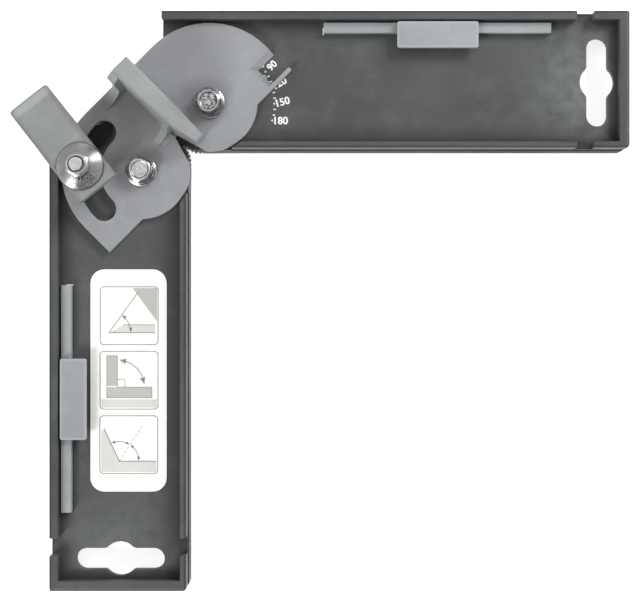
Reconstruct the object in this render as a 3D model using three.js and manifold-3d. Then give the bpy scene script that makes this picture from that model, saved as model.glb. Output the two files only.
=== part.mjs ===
// Angle finder: two geared arms under a link plate that carries a bisecting fence.
// Millimetres, +Z up. The arms lie flat at a right angle, arm A along +X and arm B along -Y.
// The origin is the middle of the outer box, on the surface that the tool lies on.

import * as THREE from 'three';
import { mergeVertices } from 'three/addons/utils/BufferGeometryUtils.js';
import Module from 'manifold-3d';

const wasm = await Module();
wasm.setup();

// Angles and counts
const LINK_HEADING = 45;
const ARM_A_HEADING = 0;
const ARM_B_HEADING = -90;
const FULL_TURN = 360;
const HALF_TURN = 180;
const QUARTER_TURN = 90;
const ARC_STEP = 7;
const ROUND_SIDES = 32;
const SMALL_ROUND_SIDES = 24;
const HEX_SIDES = 6;

// Gaps
const RUNNING_GAP = 0.3;
const SEAT_GAP = 0.2;
const OVERRUN = 5;
const WELD = 0.4;

// Gearing between the arms
const TOOTH_MODULE = 0.5;
const TOOTH_COUNT = 72;
const PRESSURE_ANGLE = 20;
const BACKLASH = 0.18;
const FLANK_STEPS = 2;
const TEETH_TOWARDS_OUTER = 10;
const TEETH_TOWARDS_INNER = 8;
const PITCH_RADIUS = TOOTH_MODULE * TOOTH_COUNT / 2;
const DEDENDUM_SHARE = 1.25;

// Arms, measured from their own pivot
const ARM_FAR = 157.2;
const ARM_NEAR = 17.7;
const ARM_OUTER = 34;
const ARM_INNER = 16.98;
const ARM_HEIGHT = 16.5;
const RECESS_DEPTH = 5.3;
const FLOOR_THICKNESS = 2.4;
const OUTER_WALL = 3.1;
const INNER_WALL = 2.3;
const END_WALL = 3.9;
const END_BEVEL = 1.3;
const SKIRT_STEP = 0.32;
const SKIRT_WALL = 2.2;
const INNER_CORNER_CUT = 1.2;
const WALL_END_RADIUS = 0.5;
const GEAR_CLEAR_RADIUS = 19;
const RIB_THICKNESS = 1.6;
const RIB_DEPTH = 3.9;
const RIB_SETBACK = 2;
const CROSS_RIB_COUNT = 4;
const FLOOR_TOP = ARM_HEIGHT - RECESS_DEPTH;
const FLOOR_UNDER = FLOOR_TOP - FLOOR_THICKNESS;
const ARM_MIDDLE = (ARM_OUTER - ARM_INNER) / 2;
const SKIRT_FACE = ARM_INNER + SKIRT_STEP;

// Notches through both side walls, and the hang slot, measured back from the far end
const NOTCH_INSET = 13.5;
const NOTCH_LENGTH = 6.3;
const HANG_INSET = 11.4;
const HANG_SHIFT = 0.3;
const HANG_LENGTH = 33.2;
const HANG_WIDTH = 7.9;
const HANG_BULGE_RADIUS = 6.45;
const HANG_FILLET = 2.2;
const HANG_CENTRE = ARM_FAR - HANG_INSET;

// Link plate, measured from the middle between the pivots, its big arcs just inside the outer walls
const PLATE_THICKNESS = 2.6;
const PLATE_WALL_GAP = 0.9;
const PLATE_REACH = ARM_OUTER - OUTER_WALL - PLATE_WALL_GAP;
const PLATE_TIP_DROP = 13.1;
const LOBE_RADIUS = 18;
const MOUTH_ANGLE = 16.4;
const MOUTH_END_WIDTH = 1.2;
const MOUTH_CENTRE = 0.4;
const PLATE_UNDER = FLOOR_TOP + RUNNING_GAP;
const PLATE_TOP = PLATE_UNDER + PLATE_THICKNESS;

// Curved slot that the clamp runs in, about pivot B
const SLOT_INSET = 10;
const SLOT_WIDTH = 9.2;
const SLOT_MIDDLE_ANGLE = 135;
const SLOT_HALF_SWEEP = 45.5;
const SLOT_RADIUS = PLATE_REACH - SLOT_INSET;

// Scale window at pivot A, measured from that pivot
const WINDOW_DEPTH = 8.25;
const WINDOW_START = PLATE_REACH - WINDOW_DEPTH;
const WINDOW_BEVEL = 1.95;
const WINDOW_TOP_EDGE = 4;
const WINDOW_SIDE_BEVEL = 2.3;
const WINDOW_LOW_EDGE = 11.5;
const POINTER_LENGTH = 0.9;
const POINTER_WIDTH = 3;
const POINTER_DROP = 7.4;
const FINGER_OVERHANG = 0.7;

// Bisecting fence on the link plate
const FENCE_HEIGHT = 24;
const FENCE_TOE_HEIGHT = 9;
const FENCE_NOSE_RADIUS = 32;
const FENCE_END_INSET = 1.4;
const FENCE_OUTER_END = PLATE_REACH - FENCE_END_INSET;
const FENCE_TOE = 7.9;
const FENCE_LEFT = 0.4;
const FENCE_RIGHT = 7.7;
const FENCE_LEFT_LEAN_OUTER = 0.4;
const FENCE_LEFT_LEAN_TOE = 2.4;
const FENCE_CHAMFER = 0.7;
const FENCE_SETBACK = 0.4;
const FENCE_WALL = 1.8;
const FENCE_CROSS_WALL = 1.6;
const FENCE_CORE_COUNT = 3;
const FENCE_SECTIONS = 14;

// Gussets on the clamp side of the fence
const GUSSET_THICKNESS = 3.5;
const GUSSET_FOOT = 12;
const GUSSET_SHOULDER = 2.4;
const GUSSET_ARC_HEIGHT = 10;
const TOE_GUSSET_THICKNESS = 2.8;
const TOE_GUSSET_FOOT = 8;
const TOE_GUSSET_HEIGHT = 13;
const TOE_GUSSET_PLACE = 2.1;
const TOE_FLANK = 1.3;
const TOE_SILL_LENGTH = 5.4;
const TOE_SILL_HEIGHT = 0.7;
const TOE_SILL_SETBACK = 0.2;
const GUSSET_ARC_STEPS = 8;

// M5 fasteners
const SCREW_RADIUS = 2.5;
const SCREW_HOLE_GAP = 0.3;
const HEX_FLATS = 8;
const FLANGE_RADIUS = 5.9;
const FLANGE_EDGE = 1;
const FLANGE_CONE_RADIUS = 4.5;
const FLANGE_HEAD_HEIGHT = 5.4;
const HEAD_CHAMFER = 0.7;
const HEAD_DISH_RADIUS = 2.9;
const HEAD_DISH_DEPTH = 0.6;
const PIVOT_SCREW_LENGTH = 13.8;
const SCREW_END_CHAMFER = 0.5;
const LOCK_NUT_HEIGHT = 4.9;
const LOCK_NUT_HEX_HEIGHT = 3.5;
const LOCK_NUT_COLLAR_RADIUS = 3.3;
const PLAIN_HEAD_HEIGHT = 3.5;
const SCREW_HOLE_RADIUS = SCREW_RADIUS + SCREW_HOLE_GAP;

// Pivot bearing under each arm floor
const BUSH_RADIUS = 3.9;
const BOSS_RADIUS = 6.2;
const BOSS_DROP = 1.4;
const PIVOT_WASHER_RADIUS = 6.4;
const PIVOT_WASHER_THICKNESS = 1;

// Clamp on arm B
const COLLAR_FLANGE_SHARE = 0.4;
const COLLAR_FLANGE_RADIUS = COLLAR_FLANGE_SHARE * SLOT_RADIUS;
const COLLAR_FLANGE_THICKNESS = 2.2;
const CAM_INNER_RADIUS = 4.2;
const CAM_OUTER_RADIUS = 7;
const CAM_BASE = 0.6;
const CAM_RISE = 1.4;
const CAM_LOBES = 2;
const CAM_RAMP_SHARE = 0.6;
const CAM_FLAT_SHARE = 0.94;
const CAM_SIDES = 48;
const LEVER_HEADING = 128.2;
const LEVER_LENGTH_OUT = 31.9;
const LEVER_LENGTH_IN = 10.2;
const LEVER_WIDTH = 17.2;
const LEVER_CORNER = 1;
const LEVER_EDGE_RADIUS = 1.4;
const LEVER_HUB_RADIUS = 8.3;
const LEVER_HUB_HEIGHT = 9.2;
const LEVER_UNDERCUT = 4.6;
const LEVER_STEP_START = 10.2;
const LEVER_STEP_END = 13.8;
const LEVER_STEP_DROP = 1.4;
const LEVER_TIP_DROP = 2.6;
const LEVER_LIP_LENGTH = 3.6;
const LEVER_LIP_RISE = 0.5;
const LEVER_TIP_THICKNESS = 1.9;
const LEVER_SKIN = 1.6;
const LEVER_RIM = 1.5;
const LEVER_RIB = 1.2;
const DOME_WASHER_RADIUS = 8.7;
const DOME_WASHER_THICKNESS = 0.8;
const DOME_WASHER_RISE = 2.1;
const DOME_FLAT_RADIUS = 4.6;
const CLAMP_SCREW_PROUD = 0.9;
const CLAMP_BOSS_RADIUS = 7.2;
const CLAMP_BOSS_DROP = 2.6;
const HEX_POCKET_GAP = 0.3;
const CLAMP_WASHER_THICKNESS = 0.8;

// Edge stops
const STOP_START = 42.8;
const STOP_LENGTH = 85.3;
const STOP_WIDTH = 3.8;
const STOP_WALL_GAP = 0.8;
const STOP_TOP_DROP = 2.5;
const STOP_LIFT = 0.4;
const STOP_TAB_LENGTH = 30.3;
const STOP_TAB_WIDTH = 9.8;
const STOP_TAB_THICKNESS = 1.6;
const STOP_TAB_DROP = 0.1;
const STOP_TAB_CORNER = 0.8;
const STOP_WALL = 1.2;
const STOP_POCKET_COUNT = 4;
const STOP_LUG_LENGTH = 7;
const STOP_LUG_REACH = 1.3;
const STOP_LUG_HEIGHT = 2;
const STOP_LUG_PLACE_SHARE = 0.22;
const GUIDE_RIB_GAP = 0.4;

// Instruction label on arm B
const LABEL_LENGTH = 83.7;
const LABEL_WIDTH = 28.7;
const LABEL_CORNER = 5.2;
const LABEL_THICKNESS = 0.2;
const LABEL_CENTRE = 78.7;
const LABEL_SHIFT = 3.3;
const LABEL_LIFT = 0.05;

// Materials
const armPlastic = { color: 0x5d5f5f, roughness: 0.55, metalness: 0 };
const linkPlastic = { color: 0x9a9da1, roughness: 0.5, metalness: 0 };
const leverPlastic = { color: 0x969896, roughness: 0.5, metalness: 0 };
const stopPlastic = { color: 0xa3a5a6, roughness: 0.5, metalness: 0 };
const zincSteel = { color: 0xc9cacb, roughness: 0.28, metalness: 1 };
const labelPaper = { color: 0xf6f6f4, roughness: 0.6, metalness: 0 };

function radians(degrees) {
  return degrees * Math.PI / HALF_TURN;
}

function polar(radius, degrees, x = 0, y = 0) {
  return new THREE.Vector2(x + radius * Math.cos(radians(degrees)), y + radius * Math.sin(radians(degrees)));
}

function arc(radius, from, to, x = 0, y = 0, step = ARC_STEP) {
  const count = Math.max(2, Math.ceil(Math.abs(to - from) / step));
  return Array.from({ length: count + 1 }, (_, i) => polar(radius, from + (to - from) * i / count, x, y));
}

function point(x, y) {
  return new THREE.Vector2(x, y);
}

function roundedBox(x0, x1, y0, y1, radius) {
  return [
    ...arc(radius, 0, QUARTER_TURN, x1 - radius, y1 - radius, 2 * ARC_STEP),
    ...arc(radius, QUARTER_TURN, HALF_TURN, x0 + radius, y1 - radius, 2 * ARC_STEP),
    ...arc(radius, HALF_TURN, HALF_TURN + QUARTER_TURN, x0 + radius, y0 + radius, 2 * ARC_STEP),
    ...arc(radius, HALF_TURN + QUARTER_TURN, FULL_TURN, x1 - radius, y0 + radius, 2 * ARC_STEP),
  ];
}

function box(x0, x1, y0, y1) {
  return [point(x0, y0), point(x1, y0), point(x1, y1), point(x0, y1)];
}

function mirrored(points, hand) {
  return points.map((p) => point(p.x, p.y * hand));
}

function toSolid(geometry) {
  const bare = geometry.clone();
  bare.deleteAttribute('normal');
  bare.deleteAttribute('uv');
  const merged = mergeVertices(bare);
  const mesh = new wasm.Mesh({
    numProp: 3,
    vertProperties: new Float32Array(merged.attributes.position.array),
    triVerts: new Uint32Array(merged.index.array),
  });
  return new wasm.Manifold(mesh);
}

function toGeometry(solid) {
  const mesh = solid.getMesh();
  const geometry = new THREE.BufferGeometry();
  geometry.setAttribute('position', new THREE.BufferAttribute(new Float32Array(mesh.vertProperties), 3));
  geometry.setIndex(new THREE.BufferAttribute(new Uint32Array(mesh.triVerts), 1));
  geometry.computeVertexNormals();
  return geometry;
}

function slab(points, z0, z1) {
  const geometry = new THREE.ExtrudeGeometry(new THREE.Shape(points), { depth: z1 - z0, bevelEnabled: false });
  geometry.translate(0, 0, z0);
  return toSolid(geometry);
}

// A slab whose outline lies in X and Z and which runs along Y
function slabAlongY(points, y0, y1) {
  const geometry = new THREE.ExtrudeGeometry(new THREE.Shape(points), { depth: y1 - y0, bevelEnabled: false });
  geometry.translate(0, 0, -y1);
  geometry.rotateX(radians(QUARTER_TURN));
  return toSolid(geometry);
}

function turned(profile, sides) {
  const geometry = new THREE.LatheGeometry(profile, sides);
  geometry.rotateX(radians(QUARTER_TURN));
  return toSolid(geometry);
}

function cylinder(radius, z0, z1, x = 0, y = 0, sides = ROUND_SIDES) {
  const geometry = new THREE.CylinderGeometry(radius, radius, z1 - z0, sides);
  geometry.rotateX(radians(QUARTER_TURN));
  geometry.translate(x, y, (z0 + z1) / 2);
  return toSolid(geometry);
}

function hexPrism(flats, z0, z1) {
  return cylinder(flats / 2 / Math.cos(Math.PI / HEX_SIDES), z0, z1, 0, 0, HEX_SIDES);
}

// A closed skin through rings of points, one ring for each station
function loft(rings) {
  const size = rings[0].length;
  const positions = rings.flatMap((ring) => ring.flatMap((p) => [p.x, p.y, p.z]));
  const index = [];
  for (let r = 0; r + 1 < rings.length; r += 1) {
    for (let i = 0; i < size; i += 1) {
      const a = r * size + i;
      const b = r * size + (i + 1) % size;
      index.push(a, b, a + size);
      index.push(b, b + size, a + size);
    }
  }
  const last = (rings.length - 1) * size;
  for (let i = 1; i + 1 < size; i += 1) {
    index.push(0, i + 1, i);
    index.push(last, last + i, last + i + 1);
  }
  const geometry = new THREE.BufferGeometry();
  geometry.setAttribute('position', new THREE.BufferAttribute(new Float32Array(positions), 3));
  geometry.setIndex(index);
  return toSolid(geometry);
}

function join(solids) {
  return solids.reduce((whole, next) => whole.add(next));
}

// Involute gear sector: tooth centres lie on the pitch angle either side of the contact direction
function involute(baseRadius, radius) {
  return Math.sqrt((radius / baseRadius) ** 2 - 1) - Math.acos(baseRadius / radius);
}

function toothPoints(centreAngle) {
  const pressure = radians(PRESSURE_ANGLE);
  const baseRadius = PITCH_RADIUS * Math.cos(pressure);
  const tipRadius = PITCH_RADIUS + TOOTH_MODULE;
  const rootRadius = PITCH_RADIUS - DEDENDUM_SHARE * TOOTH_MODULE;
  const startRadius = Math.max(rootRadius, baseRadius);
  const halfAtPitch = Math.PI / 2 / TOOTH_COUNT - BACKLASH / 2 / (2 * PITCH_RADIUS);
  const halfAngle = (radius) => (
    (halfAtPitch + involute(baseRadius, PITCH_RADIUS) - involute(baseRadius, radius)) * HALF_TURN / Math.PI);
  const radii = Array.from({ length: FLANK_STEPS + 1 }, (_, i) => (
    startRadius + (tipRadius - startRadius) * i / FLANK_STEPS));
  return [
    ...radii.map((r) => polar(r, centreAngle - halfAngle(r))),
    ...radii.toReversed().map((r) => polar(r, centreAngle + halfAngle(r))),
  ];
}

// Tooth centres from the outer side to the inner side, in the arm's own frame
function toothAngles(hand) {
  const pitchAngle = FULL_TURN / TOOTH_COUNT;
  const contact = HALF_TURN + QUARTER_TURN / 2;
  const shift = hand > 0 ? 0 : pitchAngle / 2;
  const count = TEETH_TOWARDS_OUTER + TEETH_TOWARDS_INNER + 1;
  return Array.from({ length: count }, (_, i) => contact + shift + (i - TEETH_TOWARDS_OUTER) * pitchAngle);
}

// Outline of an arm from above, with its outer edge at +Y. The last teeth pass the inner edge
function armOutline(hand) {
  const innerStart = Math.sqrt(GEAR_CLEAR_RADIUS ** 2 - SKIRT_FACE ** 2);
  const rootRadius = PITCH_RADIUS - DEDENDUM_SHARE * TOOTH_MODULE;
  const angles = toothAngles(hand);
  const halfPitch = HALF_TURN / TOOTH_COUNT;
  const nearStart = Math.sqrt(PITCH_RADIUS ** 2 - ARM_NEAR ** 2);
  return [
    point(-ARM_NEAR, ARM_OUTER),
    point(-ARM_NEAR, nearStart + WELD),
    polar(rootRadius, angles[0] - 3 * halfPitch / 2),
    ...angles.flatMap(toothPoints),
    polar(rootRadius, angles.at(-1) + halfPitch),
    point(innerStart, -SKIRT_FACE),
    point(ARM_FAR - INNER_CORNER_CUT, -SKIRT_FACE),
    point(ARM_FAR, -SKIRT_FACE + INNER_CORNER_CUT),
    point(ARM_FAR, ARM_OUTER),
  ];
}

// Everything past the straight inner edge, where the gear sector is cut flush
function pastInnerEdge(hand) {
  const reach = PITCH_RADIUS + OVERRUN;
  return slab(mirrored(box(-reach, reach, -reach, -SKIRT_FACE), hand), -OVERRUN, ARM_HEIGHT);
}

// Hollow under the floor, inside the skirt
function hollowOutline() {
  const reach = PITCH_RADIUS - DEDENDUM_SHARE * TOOTH_MODULE - SKIRT_WALL;
  const innerFace = SKIRT_FACE - SKIRT_WALL;
  return [
    point(-reach, ARM_OUTER - OUTER_WALL),
    ...arc(reach, HALF_TURN, HALF_TURN + QUARTER_TURN),
    point(reach, -innerFace),
    point(ARM_FAR - SKIRT_WALL, -innerFace),
    point(ARM_FAR - SKIRT_WALL, ARM_OUTER - OUTER_WALL),
  ];
}

// Slot across the arm with a round bulge in its middle
function hangOutline() {
  const half = HANG_WIDTH / 2;
  const reach = HANG_LENGTH / 2 - half;
  const filletReach = Math.sqrt((HANG_BULGE_RADIUS + HANG_FILLET) ** 2 - (half + HANG_FILLET) ** 2);
  const meeting = Math.atan2(filletReach, half + HANG_FILLET) * HALF_TURN / Math.PI;
  const side = [
    ...arc(HANG_BULGE_RADIUS, 0, meeting),
    ...arc(HANG_FILLET, HALF_TURN + meeting, HALF_TURN, half + HANG_FILLET, filletReach, 2 * ARC_STEP).slice(1),
    ...arc(half, 0, QUARTER_TURN, 0, reach, 2 * ARC_STEP),
  ];
  const flip = (sx, sy, list) => list.map((p) => point(p.x * sx, p.y * sy));
  const ring = [
    ...side,
    ...flip(-1, 1, side.slice(0, -1).toReversed()),
    ...flip(-1, -1, side.slice(1)),
    ...flip(1, -1, side.slice(1, -1).toReversed()),
  ];
  return ring.map((p) => point(p.x + HANG_CENTRE, p.y + ARM_MIDDLE - HANG_SHIFT));
}

// Walls round the tray, cut through by the notches and open at the near end
function trayWalls(hand) {
  const bottom = FLOOR_TOP - WELD;
  const notchEnd = ARM_FAR - NOTCH_INSET;
  const notchStart = notchEnd - NOTCH_LENGTH;
  const outerFace = ARM_OUTER - OUTER_WALL;
  const innerFace = ARM_INNER - INNER_WALL;
  const wall = (x0, x1, y0, y1) => (
    slab(mirrored(roundedBox(x0, x1, y0, y1, WALL_END_RADIUS), hand), bottom, ARM_HEIGHT));
  const square = (x0, x1, y0, y1) => slab(mirrored(box(x0, x1, y0, y1), hand), bottom, ARM_HEIGHT);
  const clear = cylinder(GEAR_CLEAR_RADIUS, 0, ARM_HEIGHT + OVERRUN, 0, 0, 2 * ROUND_SIDES);
  const bevel = slabAlongY([
    point(ARM_FAR - END_BEVEL, ARM_HEIGHT + OVERRUN),
    point(ARM_FAR - END_BEVEL, ARM_HEIGHT),
    point(ARM_FAR, ARM_HEIGHT - END_BEVEL),
    point(ARM_FAR + OVERRUN, ARM_HEIGHT - END_BEVEL),
    point(ARM_FAR + OVERRUN, ARM_HEIGHT + OVERRUN),
  ], -ARM_OUTER - OVERRUN, ARM_OUTER + OVERRUN);
  const inner = join([
    wall(0, notchStart, -ARM_INNER, -innerFace),
    wall(notchEnd, ARM_FAR - END_WALL + WELD, -ARM_INNER, -innerFace),
  ]).subtract(clear);
  const outer = join([
    wall(-ARM_NEAR, notchStart, outerFace, ARM_OUTER),
    wall(notchEnd, ARM_FAR - END_WALL + WELD, outerFace, ARM_OUTER),
  ]);
  const end = square(ARM_FAR - END_WALL, ARM_FAR, -ARM_INNER, ARM_OUTER);
  const cut = slab(mirrored([
    point(ARM_FAR - INNER_CORNER_CUT, -SKIRT_FACE),
    point(ARM_FAR + OVERRUN, -SKIRT_FACE),
    point(ARM_FAR + OVERRUN, -SKIRT_FACE + INNER_CORNER_CUT + OVERRUN),
  ], hand), 0, ARM_HEIGHT + OVERRUN);
  return join([inner, outer, end]).subtract(bevel).subtract(cut);
}

// Ribs under the floor, clear of the pivot, the edge stop's channel and the hang slot
function floorRibs(hand) {
  const guideInner = ARM_OUTER - OUTER_WALL - STOP_WALL_GAP - STOP_WIDTH - GUIDE_RIB_GAP;
  const innerFace = SKIRT_FACE - SKIRT_WALL;
  const from = BOSS_RADIUS + PITCH_RADIUS;
  const to = HANG_CENTRE - HANG_BULGE_RADIUS - RIB_SETBACK;
  const channelStart = STOP_START - GUIDE_RIB_GAP - RIB_THICKNESS;
  const channelEnd = STOP_START + STOP_LENGTH + GUIDE_RIB_GAP + RIB_THICKNESS;
  const rib = (x0, x1, y0, y1, z0) => slab(mirrored(box(x0, x1, y0, y1), hand), z0, FLOOR_UNDER + WELD);
  const low = FLOOR_UNDER - RIB_DEPTH;
  const lengthwise = rib(from, to, ARM_MIDDLE - RIB_THICKNESS / 2, ARM_MIDDLE + RIB_THICKNESS / 2, low);
  const guide = rib(channelStart, channelEnd, guideInner - RIB_THICKNESS, guideInner, low);
  const ends = [channelStart, channelEnd - RIB_THICKNESS].map((x) => (
    rib(x, x + RIB_THICKNESS, guideInner - WELD, ARM_OUTER - OUTER_WALL + WELD, low)));
  const spacing = (to - from) / CROSS_RIB_COUNT;
  const cross = Array.from({ length: CROSS_RIB_COUNT }, (_, i) => {
    const x = from + i * spacing;
    return rib(x, x + RIB_THICKNESS, -innerFace - WELD, guideInner - RIB_THICKNESS + WELD, low);
  });
  const windows = stopLugPlaces().map((x) => slab(mirrored(box(
    x - STOP_LUG_LENGTH / 2 - SEAT_GAP, x + STOP_LUG_LENGTH / 2 + SEAT_GAP,
    guideInner - RIB_THICKNESS - OVERRUN / 2, guideInner + OVERRUN / 2), hand), 0, FLOOR_UNDER));
  return windows.reduce((ribs, gap) => ribs.subtract(gap), join([lengthwise, guide, ...ends, ...cross]));
}

function armBody(hand) {
  const stopOuter = ARM_OUTER - OUTER_WALL;
  const stopInner = stopOuter - STOP_WALL_GAP - STOP_WIDTH - RUNNING_GAP;
  const body = slab(mirrored(armOutline(hand), hand), 0, FLOOR_TOP).subtract(pastInnerEdge(hand));
  const hollow = slab(mirrored(hollowOutline(), hand), -OVERRUN, FLOOR_UNDER);
  const boss = cylinder(BOSS_RADIUS, FLOOR_UNDER - BOSS_DROP, FLOOR_UNDER + WELD);
  const bore = cylinder(BUSH_RADIUS + RUNNING_GAP, 0, FLOOR_TOP + OVERRUN);
  const hang = slab(mirrored(hangOutline(), hand), -OVERRUN, ARM_HEIGHT + OVERRUN);
  const stopSlot = slab(mirrored(box(
    STOP_START - RUNNING_GAP, STOP_START + STOP_LENGTH + RUNNING_GAP, stopInner, stopOuter), hand),
  0, FLOOR_TOP + OVERRUN);
  const step = slab(mirrored(box(
    0, ARM_FAR + OVERRUN, -ARM_INNER - OVERRUN, -ARM_INNER), hand), FLOOR_UNDER, ARM_HEIGHT + OVERRUN);
  const gearSide = cylinder(GEAR_CLEAR_RADIUS, 0, ARM_HEIGHT + OVERRUN, 0, 0, 2 * ROUND_SIDES);
  return body
    .subtract(hollow)
    .subtract(step.subtract(gearSide))
    .add(boss)
    .add(floorRibs(hand))
    .add(trayWalls(hand))
    .subtract(bore)
    .subtract(hang)
    .subtract(stopSlot);
}

// Arm B also carries the clamp's screw in a hexagon pocket under its floor
function armWithClampSeat(hand) {
  const boss = cylinder(CLAMP_BOSS_RADIUS, FLOOR_UNDER - CLAMP_BOSS_DROP, FLOOR_UNDER + WELD, 0, 0);
  const pocket = hexPrism(HEX_FLATS + 2 * HEX_POCKET_GAP, 0, FLOOR_UNDER);
  const hole = cylinder(SCREW_HOLE_RADIUS, 0, ARM_HEIGHT, 0, 0, SMALL_ROUND_SIDES);
  const place = (solid) => solid.translate([0, SLOT_RADIUS * hand, 0]);
  return armBody(hand).add(place(boss)).subtract(place(pocket)).subtract(place(hole));
}

// Link plate outline: two big arcs, a straight outer edge, two tips and two small lobes
function plateOutline() {
  const pivot = PITCH_RADIUS;
  const end = pivot + PLATE_REACH;
  const fingerRadius = (PLATE_TIP_DROP - WINDOW_LOW_EDGE) / 2;
  const fingerCentre = end + FINGER_OVERHANG - fingerRadius;
  const lobeMeet = Math.asin(PLATE_TIP_DROP / LOBE_RADIUS) * HALF_TURN / Math.PI;
  return [
    ...arc(PLATE_REACH, QUARTER_TURN, 0, pivot, 0),
    point(end, -WINDOW_LOW_EDGE),
    ...arc(fingerRadius, QUARTER_TURN, -QUARTER_TURN, fingerCentre, -PLATE_TIP_DROP + fingerRadius, 3 * ARC_STEP),
    ...arc(LOBE_RADIUS, -lobeMeet, -HALF_TURN, pivot, 0),
    ...arc(LOBE_RADIUS, 0, -HALF_TURN + lobeMeet, -pivot, 0).slice(1),
    point(-end, -PLATE_TIP_DROP),
    ...arc(PLATE_REACH, HALF_TURN, QUARTER_TURN, -pivot, 0),
  ];
}

// V-shaped mouth between the lobes with a short blunt end
function mouth() {
  const depth = LOBE_RADIUS + OVERRUN;
  const flare = depth * Math.tan(radians(MOUTH_ANGLE));
  const half = MOUTH_END_WIDTH / 2;
  return slab([
    point(MOUTH_CENTRE - half, 0),
    point(MOUTH_CENTRE - half - flare, -depth),
    point(MOUTH_CENTRE + half + flare, -depth),
    point(MOUTH_CENTRE + half, 0),
  ], PLATE_UNDER - OVERRUN, PLATE_TOP + OVERRUN);
}

// Space left of the fence's toe, from the toe gusset's face down to the mouth's right edge
function toeRelief() {
  const depth = LOBE_RADIUS + OVERRUN;
  const flare = depth * Math.tan(radians(MOUTH_ANGLE));
  const clear = FENCE_RIGHT + GUSSET_FOOT;
  return slab([
    point(-clear, TOE_GUSSET_PLACE),
    point(-clear, -depth),
    point(MOUTH_CENTRE + MOUTH_END_WIDTH / 2 + FENCE_SETBACK + flare, -depth),
    point(TOE_FLANK, TOE_GUSSET_PLACE),
  ], PLATE_UNDER, PLATE_TOP + FENCE_HEIGHT + OVERRUN);
}

// Low sill on the plate between the mouth's blunt end and the toe gusset
function toeSill() {
  const root = MOUTH_CENTRE - MOUTH_END_WIDTH / 2;
  return slab(box(root - TOE_SILL_LENGTH, root, TOE_SILL_SETBACK, TOE_GUSSET_PLACE + WELD),
    PLATE_TOP - WELD, PLATE_TOP + TOE_SILL_HEIGHT);
}

function curvedSlot() {
  const from = SLOT_MIDDLE_ANGLE - SLOT_HALF_SWEEP;
  const to = SLOT_MIDDLE_ANGLE + SLOT_HALF_SWEEP;
  const half = SLOT_WIDTH / 2;
  const near = polar(SLOT_RADIUS, from);
  const far = polar(SLOT_RADIUS, to);
  const points = [
    ...arc(SLOT_RADIUS + half, from, to),
    ...arc(half, to, to + HALF_TURN, far.x, far.y, 2 * ARC_STEP).slice(1, -1),
    ...arc(SLOT_RADIUS - half, to, from),
    ...arc(half, from - HALF_TURN, from, near.x, near.y, 2 * ARC_STEP).slice(1, -1),
  ];
  return slab(points, PLATE_UNDER - OVERRUN, PLATE_TOP + OVERRUN).translate([-PITCH_RADIUS, 0, 0]);
}

// Scale window with bevelled sides and a small pointer on its inner edge
function scaleWindow() {
  const open = PLATE_REACH + OVERRUN;
  const ring = (start, tip, upper, z) => [
    [start, -WINDOW_LOW_EDGE],
    [open, -WINDOW_LOW_EDGE],
    [open, -upper],
    [start, -upper],
    [start, -POINTER_DROP + POINTER_WIDTH / 2],
    [tip, -POINTER_DROP],
    [start, -POINTER_DROP - POINTER_WIDTH / 2],
  ].map(([x, y]) => new THREE.Vector3(x + PITCH_RADIUS, y, z));
  const topStart = WINDOW_START - WINDOW_BEVEL;
  const topUpper = WINDOW_TOP_EDGE - WINDOW_SIDE_BEVEL;
  const through = ring(WINDOW_START, WINDOW_START + POINTER_LENGTH, WINDOW_TOP_EDGE, 0).map((p) => point(p.x, p.y));
  const bevelRings = [
    [WINDOW_START, WINDOW_START + POINTER_LENGTH, WINDOW_TOP_EDGE, PLATE_UNDER],
    [topStart, topStart, topUpper, PLATE_TOP],
  ].map(([start, tip, upper, z]) => ring(start, tip, upper, z));
  return bevelPrism(bevelRings).add(slab(through, PLATE_UNDER - OVERRUN, PLATE_UNDER + WELD / 2));
}

// Skin between two outlines that need not be convex, one above the other
function bevelPrism([lower, upper]) {
  const size = lower.length;
  const flat = lower.map((p) => point(p.x, p.y));
  const caps = THREE.ShapeUtils.triangulateShape(flat, []);
  const positions = [...lower, ...upper].flatMap((p) => [p.x, p.y, p.z]);
  const index = caps.flatMap(([a, b, c]) => [a, c, b, a + size, b + size, c + size]);
  for (let i = 0; i < size; i += 1) {
    const next = (i + 1) % size;
    index.push(i, next, i + size);
    index.push(next, next + size, i + size);
  }
  const geometry = new THREE.BufferGeometry();
  geometry.setAttribute('position', new THREE.BufferAttribute(new Float32Array(positions), 3));
  geometry.setIndex(index);
  return toSolid(geometry);
}

// Height of the fence above the plate: level from the outer end, then a round nose down to the toe
function fenceRise(v) {
  const fall = FENCE_HEIGHT - FENCE_TOE_HEIGHT;
  const noseLength = Math.sqrt(2 * FENCE_NOSE_RADIUS * fall - fall ** 2);
  const past = Math.max(0, -FENCE_TOE + noseLength - v);
  return FENCE_HEIGHT - FENCE_NOSE_RADIUS + Math.sqrt(FENCE_NOSE_RADIUS ** 2 - past ** 2);
}

function fenceLeftLean(v) {
  const along = (FENCE_OUTER_END - v) / (FENCE_OUTER_END + FENCE_TOE);
  return FENCE_LEFT_LEAN_OUTER + (FENCE_LEFT_LEAN_TOE - FENCE_LEFT_LEAN_OUTER) * along;
}

function fenceStations(from, to, count) {
  return Array.from({ length: count + 1 }, (_, i) => from + (to - from) * i / count);
}

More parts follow.
